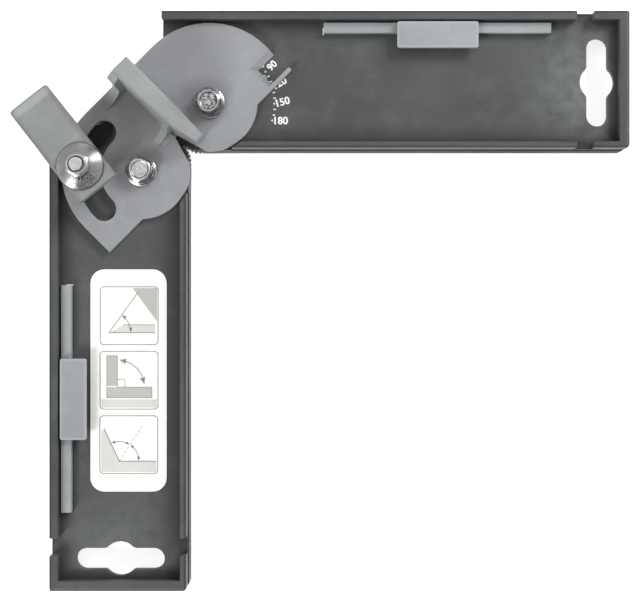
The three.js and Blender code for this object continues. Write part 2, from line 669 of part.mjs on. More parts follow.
function fenceSkin() {
  return loft(fenceStations(-FENCE_TOE, FENCE_OUTER_END, FENCE_SECTIONS).map((v) => {
    const top = PLATE_TOP + fenceRise(v);
    const left = -FENCE_LEFT + fenceLeftLean(v);
    return [
      [-FENCE_LEFT, PLATE_TOP - WELD],
      [-FENCE_LEFT, PLATE_TOP],
      [left, top - FENCE_CHAMFER],
      [left + FENCE_CHAMFER, top],
      [FENCE_RIGHT - FENCE_CHAMFER, top],
      [FENCE_RIGHT, top - FENCE_CHAMFER],
      [FENCE_RIGHT, PLATE_TOP],
      [FENCE_RIGHT, PLATE_TOP - WELD],
    ].map(([u, z]) => new THREE.Vector3(u, v, z));
  }));
}

// Cores open to the plate's underside, with cross walls between them
function fenceCores() {
  const from = TOE_GUSSET_PLACE + FENCE_WALL;
  const to = FENCE_OUTER_END - FENCE_WALL;
  const pitch = (to - from + FENCE_CROSS_WALL) / FENCE_CORE_COUNT;
  return Array.from({ length: FENCE_CORE_COUNT }, (_, i) => {
    const start = from + i * pitch;
    return loft(fenceStations(start, start + pitch - FENCE_CROSS_WALL, 2).map((v) => {
      const top = PLATE_TOP + fenceRise(v) - FENCE_WALL;
      const left = -FENCE_LEFT + FENCE_WALL + fenceLeftLean(v);
      return [
        [-FENCE_LEFT + FENCE_WALL, PLATE_UNDER - OVERRUN],
        [-FENCE_LEFT + FENCE_WALL, PLATE_TOP],
        [left, top],
        [FENCE_RIGHT - FENCE_WALL, top],
        [FENCE_RIGHT - FENCE_WALL, PLATE_UNDER - OVERRUN],
      ].map(([u, z]) => new THREE.Vector3(u, v, z));
    }));
  });
}

// Concave rib on the clamp side of the fence, between two stations
function gusset(foot, shoulder, arcHeight, height, v0, v1) {
  const root = -FENCE_LEFT;
  const sweep = foot - shoulder;
  const fillet = Array.from({ length: GUSSET_ARC_STEPS + 1 }, (_, i) => {
    const angle = radians(QUARTER_TURN) * i / GUSSET_ARC_STEPS;
    return point(root - foot + sweep * Math.cos(angle), PLATE_TOP + arcHeight * (1 - Math.sin(angle)));
  });
  return slabAlongY([
    point(root + FENCE_WALL, PLATE_TOP - WELD),
    point(root + FENCE_WALL, PLATE_TOP + height),
    point(root, PLATE_TOP + height),
    point(root - shoulder / 2, PLATE_TOP + height - shoulder / 4),
    point(root - shoulder, PLATE_TOP + height - shoulder),
    ...fillet,
    point(root - foot, PLATE_TOP - WELD),
  ], v0, v1);
}

function linkPlate() {
  const outerGusset = gusset(GUSSET_FOOT, GUSSET_SHOULDER, GUSSET_ARC_HEIGHT, FENCE_HEIGHT - FENCE_CHAMFER,
    FENCE_OUTER_END - GUSSET_THICKNESS, FENCE_OUTER_END);
  const toeGusset = gusset(TOE_GUSSET_FOOT, 0, TOE_GUSSET_HEIGHT, TOE_GUSSET_HEIGHT,
    TOE_GUSSET_PLACE, TOE_GUSSET_PLACE + TOE_GUSSET_THICKNESS);
  const upright = join([fenceSkin(), outerGusset, toeGusset]).subtract(toeRelief());
  const holes = [-PITCH_RADIUS, PITCH_RADIUS].map((u) => (
    cylinder(SCREW_HOLE_RADIUS, PLATE_UNDER - OVERRUN, PLATE_TOP + OVERRUN, u, 0, SMALL_ROUND_SIDES)));
  const cuts = [curvedSlot(), scaleWindow(), ...holes, ...fenceCores()];
  const plate = slab(plateOutline(), PLATE_UNDER, PLATE_TOP).subtract(mouth());
  return cuts.reduce((whole, cut) => whole.subtract(cut), join([plate, upright, toeSill()]));
}

// Flange screw with its head on the link plate
function pivotScrew() {
  const seat = PLATE_TOP + SEAT_GAP;
  const top = seat + FLANGE_HEAD_HEIGHT;
  const corner = HEX_FLATS / 2 / Math.cos(Math.PI / HEX_SIDES);
  const end = seat - PIVOT_SCREW_LENGTH;
  const flange = turned([
    point(0, seat),
    point(FLANGE_RADIUS, seat),
    point(FLANGE_RADIUS, seat + FLANGE_EDGE),
    point(FLANGE_CONE_RADIUS, seat + 2 * FLANGE_EDGE),
    point(0, seat + 2 * FLANGE_EDGE),
  ], ROUND_SIDES);
  const headEnvelope = turned([
    point(0, seat),
    point(corner, seat),
    point(corner, top - HEAD_CHAMFER),
    point(corner - HEAD_CHAMFER, top),
    point(HEAD_DISH_RADIUS, top),
    point(HEAD_DISH_RADIUS - HEAD_DISH_DEPTH, top - HEAD_DISH_DEPTH),
    point(0, top - HEAD_DISH_DEPTH),
  ], ROUND_SIDES);
  const head = hexPrism(HEX_FLATS, seat, top + OVERRUN).intersect(headEnvelope);
  return join([flange, head, screwShank(end, seat + FLANGE_EDGE, end)]);
}

// Plain round shank, chamfered at the end named last
function screwShank(z0, z1, tip) {
  const inward = Math.sign((z0 + z1) / 2 - tip);
  const lower = tip === z0 ? SCREW_RADIUS - SCREW_END_CHAMFER : SCREW_RADIUS;
  const upper = tip === z1 ? SCREW_RADIUS - SCREW_END_CHAMFER : SCREW_RADIUS;
  const shoulder = tip + inward * SCREW_END_CHAMFER;
  return turned([point(0, z0), point(lower, z0), point(SCREW_RADIUS, shoulder), point(upper, z1), point(0, z1)],
    SMALL_ROUND_SIDES);
}

function lockNut(bottom, collarUp) {
  const corner = HEX_FLATS / 2 / Math.cos(Math.PI / HEX_SIDES);
  const heights = [0, HEAD_CHAMFER, LOCK_NUT_HEX_HEIGHT - HEAD_CHAMFER, LOCK_NUT_HEX_HEIGHT, LOCK_NUT_HEIGHT];
  const level = (i) => bottom + (collarUp ? heights[i] : LOCK_NUT_HEIGHT - heights[i]);
  const outline = [
    point(0, level(0)),
    point(corner - HEAD_CHAMFER, level(0)),
    point(corner, level(1)),
    point(corner, level(2)),
    point(corner - HEAD_CHAMFER, level(3)),
    point(0, level(3)),
  ];
  const envelope = turned(collarUp ? outline : outline.toReversed(), ROUND_SIDES);
  const hex = hexPrism(HEX_FLATS, bottom - OVERRUN, bottom + LOCK_NUT_HEIGHT + OVERRUN).intersect(envelope);
  const collarSpan = [level(2), level(4)].sort((a, b) => a - b);
  const collar = cylinder(LOCK_NUT_COLLAR_RADIUS, collarSpan[0], collarSpan[1], 0, 0, SMALL_ROUND_SIDES);
  const bore = cylinder(SCREW_HOLE_RADIUS, bottom - OVERRUN, bottom + LOCK_NUT_HEIGHT + OVERRUN, 0, 0,
    SMALL_ROUND_SIDES);
  return hex.add(collar).subtract(bore);
}

function flatRing(inner, outer, z0, z1) {
  return cylinder(outer, z0, z1).subtract(cylinder(inner, z0 - OVERRUN, z1 + OVERRUN, 0, 0, SMALL_ROUND_SIDES));
}

// Stack under each arm at its pivot, from the bush down
const BOSS_END = FLOOR_UNDER - BOSS_DROP;
const PIVOT_WASHER_TOP = BOSS_END - RUNNING_GAP;
const PIVOT_WASHER_UNDER = PIVOT_WASHER_TOP - PIVOT_WASHER_THICKNESS;
const PIVOT_NUT_UNDER = PIVOT_WASHER_UNDER - SEAT_GAP - LOCK_NUT_HEIGHT;

function pivotBush() {
  return flatRing(SCREW_HOLE_RADIUS, BUSH_RADIUS, PIVOT_WASHER_TOP + SEAT_GAP, PLATE_UNDER - SEAT_GAP);
}

function pivotWasher() {
  return flatRing(SCREW_HOLE_RADIUS, PIVOT_WASHER_RADIUS, PIVOT_WASHER_UNDER, PIVOT_WASHER_TOP);
}

// Stack of the clamp, from the collar on the link plate up to the lock nut
const COLLAR_UNDER = PLATE_TOP + RUNNING_GAP;
const COLLAR_TOP = COLLAR_UNDER + COLLAR_FLANGE_THICKNESS;
const CAM_TOP = COLLAR_TOP + CAM_BASE + CAM_RISE;
const HUB_CAM_UNDER = CAM_TOP + RUNNING_GAP + CAM_RISE;
const HUB_UNDER = HUB_CAM_UNDER + CAM_BASE;
const HUB_TOP = HUB_UNDER + LEVER_HUB_HEIGHT;
const DOME_UNDER = HUB_TOP + SEAT_GAP;
const DOME_TOP = DOME_UNDER + DOME_WASHER_RISE + DOME_WASHER_THICKNESS;
const CLAMP_NUT_UNDER = DOME_TOP + SEAT_GAP;
const CLAMP_SCREW_TOP = CLAMP_NUT_UNDER + LOCK_NUT_HEIGHT + CLAMP_SCREW_PROUD;
const CLAMP_HEAD_TOP = FLOOR_UNDER - SEAT_GAP - CLAMP_WASHER_THICKNESS - SEAT_GAP;

// Rise of the face cam at a share of one lobe: a ramp, a flat and a steep fall
function camRise(share) {
  if (share < CAM_RAMP_SHARE) {
    return CAM_RISE * share / CAM_RAMP_SHARE;
  }
  if (share < CAM_FLAT_SHARE) {
    return CAM_RISE;
  }
  return CAM_RISE * (1 - share) / (1 - CAM_FLAT_SHARE);
}

// Ring whose working face climbs and falls with the cam
function camRing(backZ, faceZ, direction, startAngle) {
  const positions = [];
  const index = [];
  for (let i = 0; i < CAM_SIDES; i += 1) {
    const angle = startAngle + FULL_TURN * i / CAM_SIDES;
    const share = (CAM_LOBES * i / CAM_SIDES) % 1;
    const z = faceZ + direction * camRise(share);
    for (const radius of [CAM_INNER_RADIUS, CAM_OUTER_RADIUS]) {
      const p = polar(radius, angle);
      positions.push(p.x, p.y, backZ);
      positions.push(p.x, p.y, z);
    }
  }
  for (let i = 0; i < CAM_SIDES; i += 1) {
    const a = 4 * i;
    const b = 4 * ((i + 1) % CAM_SIDES);
    const faces = [[0, 2, 0], [2, 3, 2], [3, 1, 3], [1, 0, 1]];
    for (const [p, q] of faces) {
      const quad = direction < 0 ? [a + p, a + q, b + q, b + p] : [b + p, b + q, a + q, a + p];
      index.push(quad[0], quad[1], quad[2]);
      index.push(quad[0], quad[2], quad[3]);
    }
  }
  const geometry = new THREE.BufferGeometry();
  geometry.setAttribute('position', new THREE.BufferAttribute(new Float32Array(positions), 3));
  geometry.setIndex(index);
  return toSolid(geometry);
}

function clampCollar() {
  const spigotRadius = SLOT_WIDTH / 2 - RUNNING_GAP;
  const spigot = cylinder(spigotRadius, PLATE_UNDER + SEAT_GAP, COLLAR_UNDER + WELD, 0, 0, ROUND_SIDES);
  const flange = cylinder(COLLAR_FLANGE_RADIUS, COLLAR_UNDER, COLLAR_TOP);
  const cam = camRing(COLLAR_TOP - WELD, COLLAR_TOP + CAM_BASE, 1, 0);
  const bore = cylinder(SCREW_HOLE_RADIUS, 0, CAM_TOP + OVERRUN, 0, 0, SMALL_ROUND_SIDES);
  return join([spigot, flange, cam]).subtract(bore);
}

// Top line of the lever from its inner end to its tip, in X and Z
function leverTopLine() {
  const handTop = HUB_TOP - LEVER_STEP_DROP;
  return [
    point(-LEVER_LENGTH_IN, HUB_TOP),
    point(LEVER_STEP_START, HUB_TOP),
    point(LEVER_STEP_END, handTop),
    point(LEVER_LENGTH_OUT - LEVER_LIP_LENGTH, handTop - LEVER_LIP_RISE),
    point(LEVER_LENGTH_OUT, HUB_TOP - LEVER_TIP_DROP),
  ];
}

function clampLever() {
  const handUnder = HUB_UNDER + LEVER_UNDERCUT;
  const half = LEVER_WIDTH / 2;
  const tipUnder = HUB_TOP - LEVER_TIP_DROP - LEVER_TIP_THICKNESS;
  const side = slabAlongY([
    ...leverTopLine(),
    point(LEVER_LENGTH_OUT, tipUnder),
    point(LEVER_STEP_START, handUnder),
    point(-LEVER_LENGTH_IN, handUnder),
  ].toReversed(), -half, half);
  const plan = slab(roundedBox(-LEVER_LENGTH_IN, LEVER_LENGTH_OUT, -half, half, LEVER_CORNER), 0, HUB_TOP + OVERRUN);
  const handle = side.intersect(plan).intersect(leverEdgeRounding());
  const hub = cylinder(LEVER_HUB_RADIUS, HUB_UNDER, handUnder + WELD);
  const cam = camRing(HUB_UNDER + WELD, HUB_CAM_UNDER, -1, HALF_TURN / CAM_LOBES * CAM_RAMP_SHARE);
  const bore = cylinder(SCREW_HOLE_RADIUS, 0, HUB_TOP + OVERRUN, 0, 0, SMALL_ROUND_SIDES);
  return join([handle, hub]).subtract(leverPockets(handUnder)).add(cam).subtract(bore);
}

// Long edges rounded along the lever's length, widening to a mitre on the sloping lip
function leverEdgeRounding() {
  const half = LEVER_WIDTH / 2;
  const radius = LEVER_EDGE_RADIUS;
  const corner = (inset) => (
    arc(radius, 0, QUARTER_TURN, 0, 0, 2 * ARC_STEP).map((p) => point(p.x * inset / radius - inset, p.y - radius)));
  const ring = (x, top, inset) => [
    point(-half, HUB_UNDER),
    point(half, HUB_UNDER),
    ...corner(inset).map((p) => point(half + p.x, top + p.y)),
    ...corner(inset).toReversed().map((p) => point(-half - p.x, top + p.y)),
  ].map((p) => new THREE.Vector3(x, p.x, p.y));
  const line = leverTopLine();
  const tip = line.at(-1);
  const rings = line.slice(0, -1).map((p) => ring(p.x, p.y, radius));
  const before = ring(line[0].x - OVERRUN, line[0].y, radius);
  const after = ring(tip.x + OVERRUN, tip.y, LEVER_LIP_LENGTH);
  return loft([before, ...rings, ring(tip.x, tip.y, LEVER_LIP_LENGTH), after]);
}

// Two pockets under the handle, with a rib between them
function leverPockets(handUnder) {
  const half = LEVER_WIDTH / 2 - LEVER_RIM;
  const from = LEVER_STEP_END;
  const to = LEVER_LENGTH_OUT - LEVER_LIP_LENGTH;
  const ceiling = HUB_TOP - LEVER_STEP_DROP - LEVER_LIP_RISE - LEVER_SKIN;
  const pocket = (y0, y1) => slab(roundedBox(from, to, y0, y1, LEVER_RIM / 2), handUnder - OVERRUN, ceiling);
  return pocket(LEVER_RIB / 2, half).add(pocket(-half, -LEVER_RIB / 2));
}

function domeWasher() {
  const rim = DOME_WASHER_RADIUS;
  const under = DOME_UNDER;
  const crown = DOME_UNDER + DOME_WASHER_RISE;
  const shoulder = (rim + DOME_FLAT_RADIUS) / 2;
  const shoulderRise = DOME_WASHER_RISE * 3 / 4;
  const thick = DOME_WASHER_THICKNESS;
  return turned([
    point(SCREW_HOLE_RADIUS, crown),
    point(DOME_FLAT_RADIUS - thick / 2, crown),
    point(shoulder - thick / 2, under + shoulderRise),
    point(rim - thick, under),
    point(rim, under),
    point(rim, under + thick / 2),
    point(shoulder, under + shoulderRise + thick),
    point(DOME_FLAT_RADIUS, crown + thick),
    point(SCREW_HOLE_RADIUS, crown + thick),
    point(SCREW_HOLE_RADIUS, crown),
  ], ROUND_SIDES);
}

function clampScrew() {
  const bottom = CLAMP_HEAD_TOP - PLAIN_HEAD_HEIGHT;
  const corner = HEX_FLATS / 2 / Math.cos(Math.PI / HEX_SIDES);
  const envelope = turned([
    point(0, bottom),
    point(corner - HEAD_CHAMFER, bottom),
    point(corner, bottom + HEAD_CHAMFER),
    point(corner, CLAMP_HEAD_TOP),
    point(0, CLAMP_HEAD_TOP),
  ], ROUND_SIDES);
  const head = hexPrism(HEX_FLATS, 0, ARM_HEIGHT).intersect(envelope);
  return head.add(screwShank(CLAMP_HEAD_TOP - WELD, CLAMP_SCREW_TOP, CLAMP_SCREW_TOP));
}

function clampScrewWasher() {
  const top = FLOOR_UNDER - SEAT_GAP;
  const pocket = HEX_FLATS / 2 + HEX_POCKET_GAP - RUNNING_GAP;
  return flatRing(SCREW_HOLE_RADIUS, pocket, top - CLAMP_WASHER_THICKNESS, top);
}

function stopLugPlaces() {
  return [STOP_LUG_PLACE_SHARE, 1 - STOP_LUG_PLACE_SHARE].map((share) => STOP_START + STOP_LENGTH * share);
}

// Edge stop: a hollow blade through the floor, with a thumb tab over the middle of it
function edgeStop(hand) {
  const outer = ARM_OUTER - OUTER_WALL - STOP_WALL_GAP;
  const inner = outer - STOP_WIDTH;
  const end = STOP_START + STOP_LENGTH;
  const middle = STOP_START + STOP_LENGTH / 2;
  const stripTop = ARM_HEIGHT - STOP_TOP_DROP;
  const tabTop = ARM_HEIGHT - STOP_TAB_DROP;
  const tabUnder = tabTop - STOP_TAB_THICKNESS;
  const plan = (x0, x1, y0, y1) => mirrored(box(x0, x1, y0, y1), hand);
  const blade = slab(plan(STOP_START, end, inner, outer), STOP_LIFT, stripTop);
  const riser = slab(plan(middle - STOP_TAB_LENGTH / 2 + WELD, middle + STOP_TAB_LENGTH / 2 - WELD,
    inner, outer), stripTop - WELD, tabUnder + WELD);
  const tab = slab(mirrored(roundedBox(middle - STOP_TAB_LENGTH / 2, middle + STOP_TAB_LENGTH / 2,
    outer - STOP_TAB_WIDTH, outer, STOP_TAB_CORNER), hand), tabUnder, tabTop);
  const lugTop = FLOOR_UNDER - RUNNING_GAP;
  const lugs = stopLugPlaces().map((x) => slab(plan(
    x - STOP_LUG_LENGTH / 2, x + STOP_LUG_LENGTH / 2, inner - STOP_LUG_REACH, inner + WELD),
  lugTop - STOP_LUG_HEIGHT, lugTop));
  const pitch = (STOP_LENGTH - STOP_WALL) / STOP_POCKET_COUNT;
  const pockets = Array.from({ length: STOP_POCKET_COUNT }, (_, i) => slab(plan(
    STOP_START + STOP_WALL + i * pitch, STOP_START + (i + 1) * pitch,
    inner + STOP_WALL, outer - STOP_WALL), -OVERRUN, stripTop - 2 * STOP_WALL));
  return pockets.reduce((whole, gap) => whole.subtract(gap), join([blade, riser, tab, ...lugs]));
}

function instructionLabel(hand) {
  const half = LABEL_LENGTH / 2;
  const across = ARM_MIDDLE - LABEL_SHIFT;
  const points = roundedBox(LABEL_CENTRE - half, LABEL_CENTRE + half,
    across - LABEL_WIDTH / 2, across + LABEL_WIDTH / 2, LABEL_CORNER);
  const bottom = FLOOR_TOP + LABEL_LIFT;
  return slab(mirrored(points, hand), bottom, bottom + LABEL_THICKNESS);
}

function piece(name, solid, finish) {
  const mesh = new THREE.Mesh(toGeometry(solid), new THREE.MeshStandardMaterial(finish));
  mesh.name = name;
  return mesh;
}

function placed(meshes, x, y, heading = 0) {
  const place = new THREE.Group();
  place.position.set(x, y, 0);
  place.rotation.z = radians(heading);
  place.add(...meshes);
  return place;
}

function pivotStack(side) {
  return [
    piece(`pivot_screw_${side}`, pivotScrew(), zincSteel),
    piece(`pivot_bush_${side}`, pivotBush(), zincSteel),
    piece(`pivot_washer_${side}`, pivotWasher(), zincSteel),
    piece(`pivot_nut_${side}`, lockNut(PIVOT_NUT_UNDER, false), zincSteel),
  ];
}

function clampStack() {
  const lever = placed([piece('clamp_lever', clampLever(), leverPlastic)], 0, 0, LEVER_HEADING - ARM_B_HEADING);
  return [
    piece('clamp_screw', clampScrew(), zincSteel),
    piece('clamp_screw_washer', clampScrewWasher(), zincSteel),
    piece('clamp_collar', clampCollar(), leverPlastic),
    lever,
    piece('clamp_dome_washer', domeWasher(), zincSteel),
    piece('clamp_lock_nut', lockNut(CLAMP_NUT_UNDER, true), zincSteel),
  ];
}

const link = placed([
  piece('link_plate', linkPlate(), linkPlastic),
  placed(pivotStack('a'), PITCH_RADIUS, 0),
  placed(pivotStack('b'), -PITCH_RADIUS, 0),
], 0, 0, LINK_HEADING);

const pivotA = polar(PITCH_RADIUS, LINK_HEADING);
const armA = placed([
  piece('arm_a', armBody(1), armPlastic),
  piece('edge_stop_a', edgeStop(1), stopPlastic),
], pivotA.x, pivotA.y, ARM_A_HEADING);

const armB = placed([
  piece('arm_b', armWithClampSeat(-1), armPlastic),
  piece('edge_stop_b', edgeStop(-1), stopPlastic),
  piece('instruction_label', instructionLabel(-1), labelPaper),
  placed(clampStack(), 0, -SLOT_RADIUS),
], -pivotA.x, -pivotA.y, ARM_B_HEADING);

const assembly = new THREE.Group();
assembly.add(link, armA, armB);
const bounds = new THREE.Box3().setFromObject(assembly, true);
const middle = bounds.getCenter(new THREE.Vector3());
assembly.position.set(-middle.x, -middle.y, -bounds.min.z);

const group = new THREE.Group();
group.add(assembly);

export default group;
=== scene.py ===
import math

import bmesh
import bpy
from mathutils import Matrix, Vector

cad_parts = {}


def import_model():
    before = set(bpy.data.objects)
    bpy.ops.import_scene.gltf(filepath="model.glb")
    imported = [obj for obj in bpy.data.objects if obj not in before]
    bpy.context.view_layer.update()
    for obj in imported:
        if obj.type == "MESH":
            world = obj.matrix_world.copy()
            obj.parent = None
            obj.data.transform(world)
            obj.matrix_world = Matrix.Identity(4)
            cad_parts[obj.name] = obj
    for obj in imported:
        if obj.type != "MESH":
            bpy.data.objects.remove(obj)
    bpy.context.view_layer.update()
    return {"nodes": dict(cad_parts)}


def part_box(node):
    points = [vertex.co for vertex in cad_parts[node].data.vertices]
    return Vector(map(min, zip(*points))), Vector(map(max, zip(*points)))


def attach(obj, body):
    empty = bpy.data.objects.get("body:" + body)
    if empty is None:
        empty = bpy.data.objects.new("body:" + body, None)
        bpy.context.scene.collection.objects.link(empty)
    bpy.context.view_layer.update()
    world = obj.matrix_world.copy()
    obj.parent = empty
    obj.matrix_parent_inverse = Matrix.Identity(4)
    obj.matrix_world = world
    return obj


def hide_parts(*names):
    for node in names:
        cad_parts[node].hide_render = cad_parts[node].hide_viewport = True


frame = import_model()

MM = 0.001
TURN = 2 * math.pi
LEVEL_TOLERANCE = 0.1 * MM


# Places and sizes from the frame, in metres

def middle(node):
    low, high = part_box(node)
    return (Vector(low) + Vector(high)) / 2


def top(node):
    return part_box(node)[1][2]


def bottom(node):
    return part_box(node)[0][2]


def plan(x, y):
    """A level step, given in millimetres."""
    return Vector((x, y, 0)) * MM


def level_way(angle):
    """Level unit vector at an angle in radians."""
    return Vector((math.cos(angle), math.sin(angle), 0))


PIVOT_A = middle("pivot_bush_a")
PIVOT_B = middle("pivot_bush_b")
CLAMP = middle("clamp_dome_washer")
ARM_TOP = top("arm_a")
TAB_TOP = top("edge_stop_a")
LABEL_TOP = top("instruction_label")
LABEL_GAP = 0.05 * MM
FLOOR_TOP = bottom("instruction_label") - LABEL_GAP
SCREW_HEAD = 5.4 * MM
SEAT_GAP = 0.2 * MM
PLATE_TOP = top("pivot_screw_a") - SCREW_HEAD - SEAT_GAP

# An arm measured from its pivot, and the thickness of its walls
ARM_LOW, ARM_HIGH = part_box("arm_a")
ARM_FAR = ARM_HIGH[0] - PIVOT_A.x
ARM_OUTER = ARM_HIGH[1] - PIVOT_A.y
ARM_INNER = PIVOT_A.y - ARM_LOW[1]
END_WALL = 3.9 * MM
OUTER_WALL = 3.1 * MM
INNER_WALL = 2.6 * MM

# The lever measured from the clamp's axis
LEVER_HEADING = math.radians(128.2)
LEVER_REACH = 31.9 * MM
LEVER_HALF_WIDTH = 8.6 * MM
LIP_START = 27.6 * MM
LIP_FULL = 28.8 * MM
GATE_PLACE = 24.15 * MM

# The photograph's view: straight down from above the space between the arms
CAMERA_HEIGHT = 489 * MM
CAMERA_FROM_PIVOT_A = plan(41.46, -74.78)
CAMERA_LENS = 71.3
CAMERA_SENSOR = 36
CAMERA_CLIP = (0.01, 20)

# Colours as they read in the photograph, in sRGB
ARM_GREY = (77, 79, 79)
PLATE_GREY = (144, 146, 149)
# Painted light: the fence above the plate's top is drawn in this paler grey
FENCE_LIT_GREY = (150, 153, 152)
LEVER_GREY = (137, 140, 139)
STOP_GREY = (150, 154, 156)
PRINT_WHITE = (236, 237, 235)
PRINT_GREY = (150, 149, 145)
PRINT_PALE = (214, 213, 209)
PRINT_MID = (188, 186, 181)
PAPER_WHITE = (255, 255, 251)
ZINC = (206, 208, 209)
NYLON = (74, 76, 74)
SHADOW_GREY = (50, 48, 50)


def linear(srgb):
    def channel(value):
        share = value / 255
        return share / 12.92 if share <= 0.04045 else ((share + 0.055) / 1.055) ** 2.4
    return tuple(channel(value) for value in srgb) + (1.0,)


def shade(srgb, factor):
    return linear(tuple(min(255, value * factor) for value in srgb))


# Node trees

class Nodes:
    """A node tree with short calls for what the materials and the world here share."""

    def __init__(self, tree, coordinates="Object"):
        self.tree = tree
        self.place = self.add("ShaderNodeTexCoord").outputs[coordinates]

    def add(self, kind, **settings):
        node = self.tree.nodes.new(kind)
        for key, value in settings.items():
            setattr(node, key, value)
        return node

    def link(self, source, target):
        self.tree.links.new(source, target)

    def combine(self, operation, *sources):
        node = self.add("ShaderNodeMath", operation=operation)
        for source, socket in zip(sources, node.inputs):
            self.link(source, socket)
        return node.outputs["Value"]

    def product(self, first, second):
        return self.combine("MULTIPLY", first, second)

    def vector(self, operation, source, constant=(0, 0, 0)):
        node = self.add("ShaderNodeVectorMath", operation=operation)
        node.inputs[1].default_value = constant
        self.link(source, node.inputs[0])
        return node.outputs["Value" if operation in ("LENGTH", "DOT_PRODUCT") else "Vector"]

    def span(self, source, low, high, out_low, out_high):
        """The source between two values, drawn out to two others and held at both ends."""
        node = self.add("ShaderNodeMapRange", clamp=True)
        for key, value in zip(("From Min", "From Max", "To Min", "To Max"), (low, high, out_low, out_high)):
            node.inputs[key].default_value = value
        self.link(source, node.inputs["Value"])
        return node.outputs["Result"]

    def rise(self, source, start, full, most=1.0):
        """Nothing up to the start, and the most from full on."""
        return self.span(source, start, full, 0.0, most)

    def fall(self, source, fading, gone, most=1.0):
        """The most until it is fading, and nothing once it is gone."""
        return self.span(source, fading, gone, most, 0.0)

    def ring(self, radius, edges, most):
        """A ring that sets in, is full, fades and is gone at four radii, given in millimetres."""
        start, full, fading, gone = (edge * MM for edge in edges)
        return self.product(self.rise(radius, start, full, most), self.fall(radius, fading, gone))

    def height(self):
        parts = self.add("ShaderNodeSeparateXYZ")
        self.link(self.place, parts.inputs["Vector"])
        return parts.outputs["Z"]

    def beyond(self, level, blend, most=1.0):
        """Rises with height over a blend above a level."""
        return self.rise(self.height(), level + blend[0], level + blend[1], most)

    def distance_from(self, centre):
        """Distance in plan from an upright axis."""
        offset = self.vector("SUBTRACT", self.place, (centre.x, centre.y, 0))
        return self.vector("LENGTH", self.vector("MULTIPLY", offset, (1, 1, 0)))

    def along(self, origin, way):
        """Distance from an upright axis, measured along a level direction."""
        offset = self.vector("SUBTRACT", self.place, (origin.x, origin.y, 0))
        return self.vector("DOT_PRODUCT", offset, (way.x, way.y, 0))

    def looked_at(self):
        """One for rays that the camera, a mirror or glass sends out, and zero for those that gather light."""
        path = self.add("ShaderNodeLightPath")
        total = path.outputs["Is Camera Ray"]
        for kind in ("Is Glossy Ray", "Is Transmission Ray"):
            total = self.combine("MAXIMUM", total, path.outputs[kind])
        return total


class Surface(Nodes):
    """A material whose colour is built up in layers, from a base to the wear on top."""

    def __init__(self, name):
        self.material = bpy.data.materials.new(name)
        self.material.use_nodes = True
        super().__init__(self.material.node_tree)
        self.shader = self.tree.nodes["Principled BSDF"]
        self.colour = None

    def noise(self, pattern, stretch=None):
        size, detail, roughness = pattern
        node = self.add("ShaderNodeTexNoise")
        node.inputs["Scale"].default_value = 1 / size
        node.inputs["Detail"].default_value = detail
        node.inputs["Roughness"].default_value = roughness
        place = self.place
        if stretch:
            mapping = self.add("ShaderNodeMapping")
            for key, value in stretch.items():
                mapping.inputs[key].default_value = value
            self.link(place, mapping.inputs["Vector"])
            place = mapping.outputs["Vector"]
        self.link(place, node.inputs["Vector"])
        return node.outputs["Fac"]

    def blend(self, source, *stops):
        """Start the colour: one tone at each stop of the source."""
        node = self.add("ShaderNodeValToRGB")
        for element, (position, tone) in zip(node.color_ramp.elements, stops, strict=True):
            element.position = position
            element.color = tone
        self.link(source, node.inputs["Fac"])
        self.colour = node.outputs["Color"]

    def tint(self, amount, tone):
        """Lay a tone over the colour so far."""
        node = self.add("ShaderNodeMix", data_type="RGBA")

        # Its colour sockets come after those of the same names for numbers and vectors
        first, second = node.inputs[6], node.inputs[7]
        self.link(amount, node.inputs["Factor"])
        self.link(self.colour, first)
        second.default_value = tone
        self.colour = node.outputs[2]

    def wear(self, pattern, tone, start, full, amount, stretch=None, within=None):
        """Lay a tone over the colour where a noise is high, and within a mask if there is one."""
        mask = self.rise(self.noise(pattern, stretch), start, full, amount)
        if within:
            mask = self.product(mask, within)
        self.tint(mask, tone)

    def bump(self, height, strength, distance, after=None):
        node = self.add("ShaderNodeBump")
        node.inputs["Strength"].default_value = strength
        node.inputs["Distance"].default_value = distance
        self.link(height, node.inputs["Height"])
        if after:
            self.link(after, node.inputs["Normal"])
        return node.outputs["Normal"]

    def constant(self, **values):
        """Constants for the shader's own sockets, with underscores for the spaces in their names."""
        for key, value in values.items():
            self.shader.inputs[key.replace("_", " ")].default_value = value

    def drive(self, **sources):
        """Links to the shader's own sockets, named in the same way."""
        for key, source in sources.items():
            self.link(source, self.shader.inputs[key.replace("_", " ")])

    def done(self):
        self.drive(Base_Color=self.colour)
        return self.material


# Patterns in the surfaces: the size, detail and roughness of a noise
CLOUDS = (34 * MM, 4.0, 0.55)
WAVES = (16 * MM, 2.0, 0.5)
SMEARS = (11 * MM, 3.0, 0.6)
STREAKS = (7 * MM, 5.0, 0.65)
DULL_SPOTS = (6 * MM, 5.0, 0.62)
PRINT_FILM = (5 * MM, 3.0, 0.5)
SPUN_FILM = (3 * MM, 5.0, 0.65)
ZINC_FILM = (2.4 * MM, 5.0, 0.6)
STAINS = (1.2 * MM, 5.0, 0.68)
SPECKLE = (0.9 * MM, 2.0, 0.6)
SCRATCHES = (0.6 * MM, 4.0, 0.7)
PITS = (0.55 * MM, 4.0, 0.75)
FIBRES = (0.4 * MM, 2.0, 0.5)
CRYSTALS = (0.35 * MM, 3.0, 0.7)
ARM_GRAIN = (0.32 * MM, 2.0, 0.5)
GRAIN = (0.3 * MM, 2.0, 0.5)
TURNING_SIZE = 0.22 * MM

